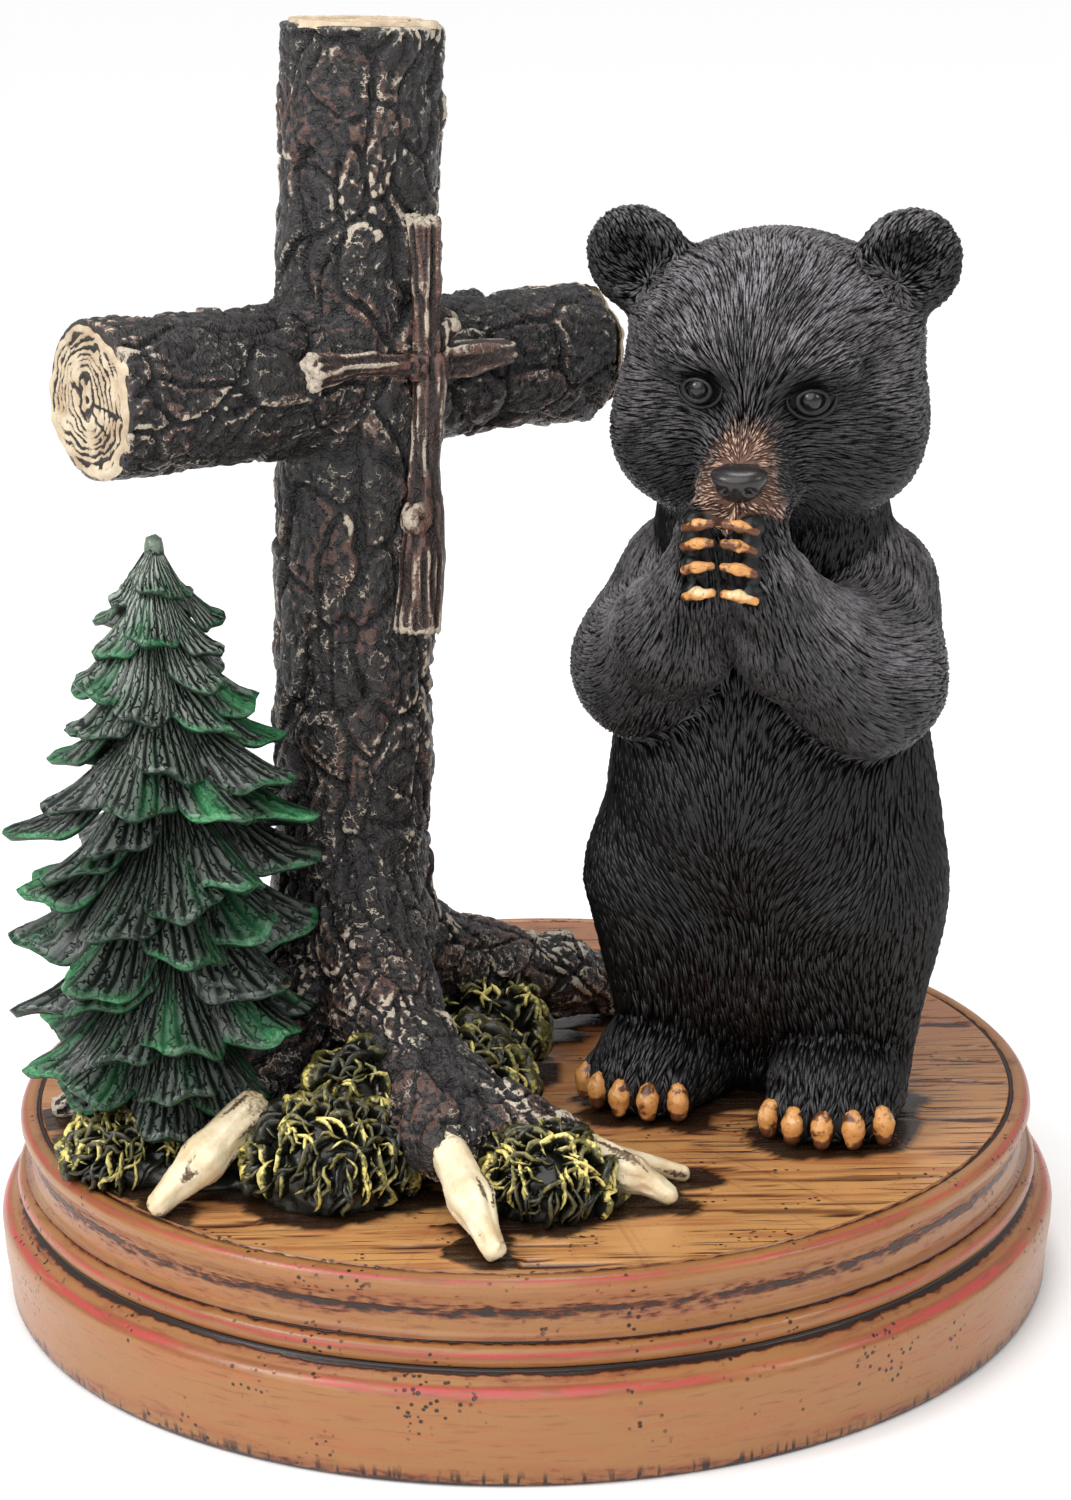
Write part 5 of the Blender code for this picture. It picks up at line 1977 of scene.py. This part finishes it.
    def paw(self, p: Array, side: int) -> Array:
        """Measure to the palm and four fingers of one folded paw.

        Args:
            p: Points of the bear's frame.
            side: Which paw.

        Returns:
            The distance at each point.
        """
        palm = ball(p, (self.paw_aside + side * 2.3, -29.2, 84.8), (2.4, 3.5, 7.8))
        parts = ((limb(p, knuckle, tip, 2.2, 1.6), 0.6) for knuckle, tip, _ in self.fingers(side))
        return heaped(palm, *parts)

    def feet(self) -> tuple[Spot, ...]:
        """List the feet as their middles' places to the side and forward, and how their toes spread."""
        return ((-14.0, -2.8, -0.28), (11.5, -6.0, 0.10))

    def toes(self, aside: float, reach: float, spread: float) -> list[tuple[Array, Array, float]]:
        """List the toes of one foot.

        Args:
            aside: Its middle's place to the side.
            reach: Its middle's place in depth.
            spread: How far its toes are turned, in radians.

        Returns:
            The place of each toe's root, the way it points and its angle.
        """
        made = []
        for toe in range(5):
            angle = spread + (toe - 2) * 0.36
            way = np.array([math.sin(angle), -math.cos(angle), 0.0])
            made.append(([aside, reach, 0.0] + way * [9.4, 10.8, 0.0], way, angle))
        return made

    def foot(self, p: Array, aside: float, reach: float, spread: float) -> Array:
        """Measure to one broad foot with five toes.

        Args:
            p: Points of the bear's frame.
            aside: The middle's place to the side.
            reach: The middle's place in depth.
            spread: How far its toes are turned, in radians.

        Returns:
            The distance at each point.
        """
        toes = ((ball(p, base + [0, 0, 3.6], (2.4, 3.0, 3.8), angle), 1.2)
                for base, _, angle in self.toes(aside, reach, spread))
        return heaped(ball(p, (aside, reach, 5.2), (9.6, 12.0, 8.2), spread), *toes)

    def trunk(self, p: Array) -> Array:
        """Measure to the body and legs without arms, feet or head.

        Args:
            p: Points of the bear's frame.

        Returns:
            The distance at each point.
        """
        mass = heaped(
            ball(p, (-0.2, 3.0, 32.0), (24.4, 18.5, 25.0)),
            (ball(p, (0.2, 0.5, 48.5), (22.3, 18.0, 25.0)), 6.0),
            (ball(p, (-1.5, 6.0, 7.0), (11.0, 9.0, 9.0)), 3.0),
            (ball(p, (0, 1.5, 67.0), (18.5, 15.5, 22.0)), 6.0),
            (ball(p, (0.6, 0.0, 85.0), (15.5, 13.0, 12.0)), 6.0),
            (limb(p, (-12.8, -3.0, 33.0), (-12.2, 1.5, 7.0), 12.6, 9.0), 3.0),
            (limb(p, (12.8, -3.0, 33.0), (11.0, 1.5, 7.0), 12.6, 9.0), 3.0),
        )
        mass = carve(mass, limb(p, (-1.0, -14.5, 0.0), (-0.5, -18.0, 28.5), 6.8, 4.4), 2.5)
        return merge(mass, ball(p, (0, -6.5, 47.0), (16.0, 13.5, 14.0)), 4.5)

    def whole(self, points: Array) -> Array:
        """Measure to the whole bear.

        Args:
            points: Points of the bear's own frame.

        Returns:
            The distance at each point.
        """
        p = points * (self.drawn_height / self.height)
        mass = heaped(
            self.trunk(p),
            *((self.foot(p, *foot), 1.5) for foot in self.feet()),
            *((self.arm(p, side), 1.6) for side in SIDES),
            (self.head(self.in_head(p)), 3.0),
            *((self.paw(p, side), 0.8) for side in SIDES),
        )
        return np.maximum(mass, -p[:, 2]) * (self.height / self.drawn_height)

    def off_ear(self, q: Array, side: int) -> Array:
        """Measure from points of the head's frame to an ear's middle."""
        return far_from(q, (side * 17.9, 2.0, 15.3))

    def flow(self, points: Array, normals: Array) -> Array:
        """Find which way the fur lies.

        Args:
            points: Points on the coat, in the bear's frame.
            normals: The way out of the coat at each.

        Returns:
            The way of the fur at each point, of length 1, along the coat.
        """
        q = self.in_head(points)
        source = -6.0 + 8.0 * ramp(q[:, 1], -20.0, -12.0)
        away = unit((q - np.stack([0 * source, 0 * source - 26.0, source], 1)) * [2.2, 1.0, 1.0])
        back = ramp(q[:, 1], 0.0, 14.0)[:, None]
        face = away * (1 - back) + np.array([0.0, 0.35, -1.0]) * back
        for side in SIDES:
            on_ear = ramp(7.5 - self.off_ear(q, side), -1.0, 2.5)[:, None]
            face = face * (1 - on_ear) + (q - [side * 14.5, 2.0, 10.5]) / 9.0 * on_ear
        inward = ramp(-points[:, 1], 4.0, 16.0) * np.clip(points[:, 0] / 9.0, -1.0, 1.0)
        inward *= ramp(points[:, 2], 22.0, 34.0)
        parts = [(self.out_of_head(face) - self.out_of_head(np.zeros((1, 3))), self.head(q)),
                 (np.stack([-0.75 * inward, 0 * inward, 0 * inward - 1.0], 1), self.trunk(points))]
        for side in SIDES:
            knots = np.array([knot for knot, _ in self.arm_knots(side)])
            gaps = np.stack([limb(points, a, b, 1.0, 1.0) for a, b in zip(knots, knots[1:])], 1)
            parts.append((nearest(gaps, 2.5) @ unit(np.diff(knots, axis=0)), self.arm(points, side)))
        for aside, reach, spread in self.feet():
            from_ankle = (points - [aside, reach + 9.0, 14.0]) * [1.0, 1.0, 0.8]
            parts.append((from_ankle, self.foot(points, aside, reach, spread)))
        share = nearest(np.stack([gap for _, gap in parts], 1), 1.4)
        way = sum(share[:, n : n + 1] * unit(lie) for n, (lie, _) in enumerate(parts))
        way = unit(way) + 0.30 * drift(points * 0.09, 50)
        return unit(way - normals * (way * normals).sum(1)[:, None])

    def brown(self, points: Array) -> Array:
        """Tell how brown the muzzle's paint is.

        Args:
            points: Points of the bear's frame.

        Returns:
            The brown at each, from 0 to 1.
        """
        q = self.in_head(points)
        ragged = 0.9 * soft_noise(points * 0.7, 61)
        down = np.clip((1.0 - q[:, 2]) / 9.0, 0.0, 1.0)
        uneven = ragged - 0.22 * down * np.maximum(q[:, 0], 0.0)
        wide = ramp(2.6 + 4.6 * down + uneven - np.abs(q[:, 0]), -0.6, 2.2)
        on_head = ramp(1.6 - self.head(q), 0.0, 0.8) * ramp(q[:, 2], -13.0, -11.0)
        return ramp(-q[:, 1], 16.5, 19.0) * wide * on_head * ramp(1.4 + ragged - q[:, 2], 0.0, 3.0)

    def bare(self, points: Array) -> Array:
        """Measure to where no fur grows: the eyes, the nose and the claws.

        Args:
            points: Points of the bear's frame.

        Returns:
            The distance at each point.
        """
        q = self.in_head(points)
        parts = [ball(q, (0, -27.2, -5.0), (3.4, 3.0, 2.5))]
        for side in SIDES:
            parts.append(ball(q, self.eye_middle(side) - [0, 0.9, 0], (3.1, 4.0, 2.6)))
            parts += [limb(points, tip, claw, 1.7, 1.4) for _, tip, claw in self.fingers(side)]
        for foot in self.feet():
            for base, way, _ in self.toes(*foot):
                parts.append(ball(points, base + way * 2.4 + [0, 0, 3.2], (1.6, 1.7, 2.8)))
        return np.minimum.reduce(parts)

    def box(self) -> tuple[Array, Array]:
        """Give the corners of a box around the bear in its own frame."""
        wide, tall = 0.24 * self.height, 1.04 * self.height
        return np.array([-wide, -1.3 * wide, -2.0]), np.array([wide, wide, tall])

    def coat(self) -> Skin:
        """Make the body's skin, a little under the fur.

        Returns:
            The skin, with the marks of fur.
        """
        skin = skinned(lambda p: self.whole(p) + self.skin_sink, *self.box(), self.skin_step, 1)
        skin.points[:, 2] = np.maximum(skin.points[:, 2], 0.0)
        skin.marks = {"crest": np.zeros(len(skin.points)), "painted_sheen": np.zeros(len(skin.points)),
                      "brown": self.brown(skin.points)}
        return skin

    def painted_sheen(self, points: Array, out: Array) -> Array:
        """Tell how much grey sheen is painted on the fur, as painted light and shade.

        Args:
            points: Points of the bear's frame.
            out: The way out of the coat at each.

        Returns:
            The painted sheen at each, from 0 to 1.
        """
        q = self.in_head(points)
        on_head = ramp(2.5 - self.head(q), 0.0, 2.5)
        on_arm = ramp(1.5 - np.minimum(self.arm(points, -1), self.arm(points, 1)), 0.0, 1.5)
        on_foot = ramp(12.0 - points[:, 2], 0.0, 4.0) * ramp(-points[:, 1], 2.0, 8.0)
        share = 0.05 + 0.12 * on_foot
        share = share + (0.85 - share) * on_arm
        share = share + (0.6 + 0.4 * ramp(q[:, 2], -9.0, 8.0) - share) * on_head
        # Painted top light: faces turned up get more sheen.
        share = share * (0.3 + 0.7 * ramp(out[:, 2], -0.45, 0.5))
        share = share * (0.92 + 0.18 * soft_noise(points * 0.12, 77))
        for side in SIDES:
            eye = self.eye_middle(side)
            # Less painted sheen by the ears.
            share = share * (1.0 - 0.4 * ramp(8.5 - self.off_ear(q, side), 0.0, 3.0))
            # Painted shade in the eye hollows and a painted highlight on each brow.
            hollow = np.linalg.norm((q - eye - [-side * 1.6, 0.0, -0.6]) / [4.6, 6.0, 4.0], axis=1)
            brow = np.linalg.norm((q - eye - [side * 0.6, 2.0, 5.4]) / [4.8, 6.0, 2.4], axis=1)
            share = share * (1.0 - 0.9 * np.exp(-(hollow**4))) + 0.5 * np.exp(-(brow**2))
        return np.clip(share, 0.0, 1.0)

    def settled(self, points: Array) -> tuple[Array, Array]:
        """Draw points onto the coat and find the way out there."""
        points = drawn_on(self.whole, points, 0.8, 1)
        return points, unit(slope(self.whole, points))

    def strokes(self, seeds: Array, salt: int) -> Skin:
        """Make the fur's carved strokes, each a closed sliver that lies along the flow of the coat.

        Args:
            seeds: Places near the coat, one a stroke.
            salt: Picks one of many draws.

        Returns:
            The strokes, with the marks of fur.
        """
        draw = np.random.default_rng(salt)
        seeds = drawn_on(self.whole, seeds + draw.uniform(-0.6, 0.6, seeds.shape), 1.0, 2)
        seeds = seeds[(seeds[:, 2] > 1.0) & (self.bare(seeds) > 0.4)]
        longer, wider, higher = draw.random((len(seeds), 3)).T
        q = self.in_head(seeds)
        on_face = ramp(-q[:, 1], 2.0, 14.0) * ramp(q[:, 2], -18.0, -12.0)
        on_muzzle = ramp(-q[:, 1], 17.0, 21.0) * on_face
        on_ear = ramp(9.5 - np.minimum(self.off_ear(q, -1), self.off_ear(q, 1)), 0.0, 2.5)
        lock = soft_noise(seeds * 0.42, 12)
        length = (6.4 - 0.8 * on_face - 3.2 * on_muzzle - 3.0 * on_ear) * (0.7 + 0.6 * longer)
        width = (0.38 - 0.11 * on_face - 0.05 * on_muzzle) * (0.8 + 0.4 * wider)
        rise = (0.29 - 0.07 * on_face - 0.04 * on_muzzle) * (0.5 + 0.7 * higher + 0.25 * lock)
        centre, out = self.settled(seeds)
        way = self.flow(centre, out)
        start, start_out = self.settled(centre - way * (0.55 * length)[:, None])
        end, end_out = self.settled(centre + way * (0.45 * length)[:, None])
        beside = np.cross(out, way) * width[:, None]
        sunk = self.stroke_sink * out
        corners = [start - self.stroke_sink * start_out, centre + beside - sunk, centre + out * rise[:, None],
                   centre - beside - sunk, end - 0.08 * end_out]
        points = np.stack(corners, 1).reshape(-1, 3)
        pattern = np.array([[0, 1, 2], [0, 2, 3], [1, 4, 2], [2, 4, 3], [0, 3, 1], [1, 3, 4]])
        if np.cross(points[1] - points[0], points[2] - points[0]) @ out[0] < 0:
            pattern = pattern[:, ::-1]
        faces = (pattern[None] + 5 * np.arange(len(seeds))[:, None, None]).reshape(-1, 3)
        lit = (0.85 + 0.22 * soft_noise(centre * 0.42, 12)) * (0.7 + 0.3 * longer)
        crest = np.tile([0.1, 0.1, 1.0, 0.1, 0.5], len(seeds)) * np.repeat(lit, 5)
        painted_sheen, brown = np.repeat(self.painted_sheen(centre, out), 5), np.repeat(self.brown(centre), 5)
        return Skin(points, faces, {"crest": crest, "painted_sheen": painted_sheen, "brown": brown})

    def fur(self) -> tuple[Skin, Skin]:
        """Make the fur, denser above the parting.

        Returns:
            The strokes of head, shoulders and paws, and those of belly, back, legs and feet.
        """
        low, high = self.box()
        bottom, top = self.fur_parting - self.fur_overlap, self.fur_parting + self.fur_overlap
        upper = skinned(self.whole, [*low[:2], bottom - 1.0], high, self.head_fur_step).points
        lower = skinned(self.whole, low, [*high[:2], top + 1.0], self.body_fur_step).points
        upper = upper[upper[:, 2] > self.fur_parting + self.fur_overlap * soft_noise(upper * 0.2, 3)]
        lower = lower[lower[:, 2] < self.fur_parting + self.fur_overlap * soft_noise(lower * 0.2, 3)]
        return self.strokes(upper, 5), self.strokes(lower, 6)

    def claw(self, knots: Knots, width: float, cream: float) -> Skin:
        """Make one claw, a little uneven.

        Args:
            knots: Its knots from root to end, in the bear's frame.
            width: The width over which its parts blend.
            cream: How much cream it has.

        Returns:
            The claw, with the mark cream.
        """

        def shape(points: Array) -> Array:
            """Measure to the claw above the ground."""
            return np.maximum(chain(points, knots, width), 0.15 - points[:, 2])

        start, end = np.array(knots[0][:3]), np.array(knots[-1][:3])
        run = end - start
        skin = skinned(shape, np.minimum(start, end) - 2.2, np.maximum(start, end) + 2.2, 0.66, 1)
        skin.lift(skin.normals(), 0.13 * fractal(skin.points * 1.1, 2, 63))
        share = np.clip((skin.points - start) @ run / (run @ run), 0, 1)
        # Painted light: cream on faces turned up and to the front, painted shade as brown on faces turned
        # down; browner towards both ends.
        upward = np.clip(skin.normals()[:, 2] * 0.7 - skin.normals()[:, 1] * 0.3, -1.0, 1.0)
        skin.marks["cream"] = cream - 0.1 + 0.6 * upward - 0.5 * ramp(np.abs(share - 0.5), 0.3, 0.5)
        return skin

    def claws(self) -> Skin:
        """Make the claws of paws and feet.

        Returns:
            The claws, with the mark cream.
        """
        made = []
        for side in SIDES:
            for row, (_, tip, claw) in enumerate(self.fingers(side)):
                start = np.array(tip) + [side * 0.9, -0.7, -0.5]
                end = np.array(claw) + [-side * 0.1, -0.7, 0.1]
                middle = (start + end) / 2 + [0, -0.55, 0.3]
                # Higher rows get less cream, the top one under the chin darkest: painted shade.
                made.append(self.claw([(*start, 0.62), (*middle, 0.66), (*end, 0.56)], 0.8, 0.4 - 0.3 * row))
        for foot in self.feet():
            for base, way, _ in self.toes(*foot):
                top = base + way * 2.0 + [0, 0, 5.0]
                bend, end = base + way * 2.5 + [0, 0, 3.6], base + way * 2.5 + [0, 0, 1.8]
                made.append(self.claw([(*top, 1.15), (*bend, 1.3), (*end, 1.2)], 1.2, 0.0))
        return gathered(made)

    def eye_middle(self, side: int) -> Array:
        """Give the middle of an eyeball in the head's frame."""
        return np.array([side * 7.3 + 0.6, -15.9, 2.8 - side * 0.6])

    def eyes(self) -> Skin:
        """Make both eyeballs.

        Returns:
            The eyeballs in the bear's frame.
        """
        made = []
        for centre in map(self.eye_middle, SIDES):
            shape = partial(ball, centre=centre, radii=(1.55, 1.7, 1.55))
            made.append(skinned(shape, centre - 2.5, centre + 2.5, 0.5, 1))
        eyes = gathered(made)
        eyes.points = self.out_of_head(eyes.points)
        return eyes

    def lids(self) -> Skin:
        """Make the soft rings of the eyelids, two round each eye, thicker below.

        Returns:
            The rings in the bear's frame, with the marks of fur.
        """
        sides, stations = 8, 40
        turn = 2 * math.pi * np.arange(sides)[:, None] / sides
        angle = 2 * math.pi * np.arange(stations)[:, None] / stations
        c, s = np.cos(angle), np.sin(angle)
        shapes = ((1.6, 0.42, 0.3, 0.75), (2.6, 0.36, 0.02, -0.1))
        made = []
        for side, (reach, full, least, forward) in itertools.product(SIDES, shapes):
            ahead = unit([side * 0.30, -1.0, 0.10])
            across = unit(np.cross(ahead, [0.0, 0.0, 1.0]))
            middle = self.eye_middle(side) + ahead * forward
            ring = middle + reach * 1.22 * c * across + reach * (0.88 - 0.1 * s) * s * np.cross(across, ahead)
            thick = (least + (full - least) * ramp(-s, -0.5, 0.6))[:, None]
            round_ring = np.cos(turn) * unit(ring - middle)[:, None] + np.sin(turn) * ahead
            tube = (ring[:, None] + thick * round_ring).reshape(-1, 3)
            faces = lattice(stations + 1, sides, True) % len(tube)
            marks = {name: np.full(len(tube), value) for name, value in
                     (("crest", 0.5), ("painted_sheen", 0.12), ("brown", 0.0))}
            made.append(Skin(tube, faces, marks))
        lids = gathered(made)
        lids.points = self.out_of_head(lids.points)
        return lids

    def nose(self) -> Skin:
        """Make the nose pad with its nostrils.

        Returns:
            The nose in the bear's frame.
        """

        def shape(p: Array) -> Array:
            """Measure to the nose.

            Args:
                p: Points of the head's frame.

            Returns:
                The distance at each point.
            """
            mass = ball(p, (0, -26.5, -4.7), (3.7, 2.9, 2.1))
            mass = merge(mass, ball(p, (0, -26.9, -6.1), (2.6, 2.1, 1.8)), 1.2)
            mass = overlap(mass, p[:, 2] + 3.3 - 0.12 * (p[:, 1] + 27.0), 1.2)
            for side in SIDES:
                mass = carve(mass, ball(p, (side * 1.8, -29.1, -5.9), (0.8, 1.3, 0.5), 0.0, side * 0.4), 0.4)
            return carve(mass, limb(p, (0, -29.6, -5.7), (0, -28.6, -8.8), 0.45, 0.45), 0.3)

        skin = skinned(shape, (-5.5, -31.5, -10.5), (5.5, -23.5, -1.5), 0.55, 1)
        skin.points = self.out_of_head(skin.points)
        return skin

    def build(self) -> None:
        """Build the bear on the plinth."""
        fur = FurPaint().material()
        gloss = GlossPaint().material()
        wet_nose = GlossPaint("nose_paint", (0.020, 0.016, 0.016), 0.22).material()
        upper, lower = self.fur()
        parts = [
            ("bear_coat", self.coat(), fur, "bear"),
            ("head_fur", upper, fur, None),
            ("body_fur", lower, fur, None),
            ("bear_claws", self.claws(), ClawPaint().material(), None),
            ("bear_eyelids", self.lids(), fur, None),
            ("bear_eyes", self.eyes(), gloss, None),
            ("bear_nose", self.nose(), wet_nose, None),
        ]
        for name, skin, finish, node in parts:
            skin.points = self.placed(skin.points)
            piece(name, skin, finish, node)


# The studio.


@dataclass
class Studio:
    """A pale floor, soft light and the camera where the photograph was taken from."""

    eye: Spot = (2.342, -488.798, 214.431)
    right: Spot = (0.9998477, -0.00475084, -0.01679333)
    up: Spot = (0.01745241, 0.27217527, 0.96208941)
    ahead: Spot = (0.0, 0.96223597, -0.27221673)
    lens: float = 86.4
    floor_half: float = 9.0
    sky: Colour = (1.0, 1.0, 1.0)
    sky_light: float = 0.47
    dome_light: float = 2.45
    dome_angle: float = math.radians(75.0)
    dome_place: Spot = (-0.5, -0.75, 1.0)
    lit_place: Spot = (0.0, 0.0, 0.09)

    def camera(self) -> None:
        """Set the camera."""
        data = bpy.data.cameras.new("camera")
        data.lens = self.lens
        data.sensor_width = 36.0
        data.clip_start, data.clip_end = 0.01, 100.0
        thing = in_scene("camera", data)
        columns = zip(self.right, self.up, (-a for a in self.ahead))
        rows = [(*row, self.eye[n] * MM) for n, row in enumerate(columns)]
        thing.matrix_world = Matrix([*rows, (0, 0, 0, 1)])
        bpy.context.scene.camera = thing

    def floor(self) -> None:
        """Lay the floor."""
        half = self.floor_half
        mesh = bpy.data.meshes.new("floor")
        corners = [(-half, -half, 0), (half, -half, 0), (half, half, 0), (-half, half, 0)]
        mesh.from_pydata(corners, [], [(0, 1, 2, 3)])
        mesh.materials.append(Finish("floor_paper", (0.97, 0.97, 0.97), 0.8).material)
        in_scene("floor", mesh)

    def light(self, name: str, kind: str, way: Vector, **settings: Any) -> bpy.types.Object:
        """Hang a light.

        Args:
            name: The light's name.
            kind: Its Blender type.
            way: The way it shines.
            settings: Its own properties.

        Returns:
            The light, at the origin.
        """
        data = bpy.data.lights.new(name, kind)
        for setting, value in settings.items():
            setattr(data, setting, value)
        thing = in_scene(name, data)
        thing.rotation_euler = way.to_track_quat("-Z", "Y").to_euler()
        return thing

    def softbox(self, name: str, place: Spot, size: float, power: float) -> None:
        """Hang a square softbox that faces the figurine, its place and size in metres."""
        way = Vector(self.lit_place) - Vector(place)
        self.light(name, "AREA", way, shape="SQUARE", size=size, energy=power).location = place

    def build(self) -> None:
        """Set up the studio."""
        self.camera()
        self.floor()
        self.light("dome", "SUN", -Vector(self.dome_place), energy=self.dome_light, angle=self.dome_angle)
        self.softbox("softbox_left", (-0.6, -0.25, 0.7), 0.25, 1.8)
        self.softbox("softbox_right", (0.65, -0.3, 0.55), 0.2, 0.9)
        self.softbox("softbox_top", (0.05, 0.25, 0.9), 0.35, 2.0)
        world = bpy.data.worlds.new("studio")
        world.use_nodes = True
        sky = Wiring(world.node_tree)
        seen = sky.add("ShaderNodeLightPath").outputs["Is Camera Ray"]
        background = world.node_tree.nodes["Background"]
        sky.feed(background.inputs["Color"], self.sky)
        sky.feed(background.inputs["Strength"], sky.level(seen, self.sky_light, 1.0))
        bpy.context.scene.world = world
        bpy.context.scene.view_settings.view_transform = "Standard"


def main() -> None:
    """Build the studio and every piece."""
    logging.basicConfig(level=logging.INFO, format="%(name)s %(message)s")
    Studio().build()
    cross, bear = LogCross(), Bear()

    def puddle(spots: Array) -> Array:
        """Tell how wet the plate's paint is round the castings.

        Args:
            spots: Placed points on the plate.

        Returns:
            The wetness at each, from 0 to 1.
        """
        to_bear = bear.whole(bear.own_frame(spots + [0, 0, 1.0]))
        near = np.minimum(cross.footprint(spots + [0, 0, 0.6]), to_bear)
        uneven = 1.7 * soft_noise(spots * 0.22, 8) + 0.6 * soft_noise(spots * 0.8, 9)
        return ramp(3.4 + uneven - near, 0.0, 0.6)

    Plinth().build(puddle)
    cross.build()
    Pine().build(cross)
    bear.build()


if __name__ == "__main__":
    main()
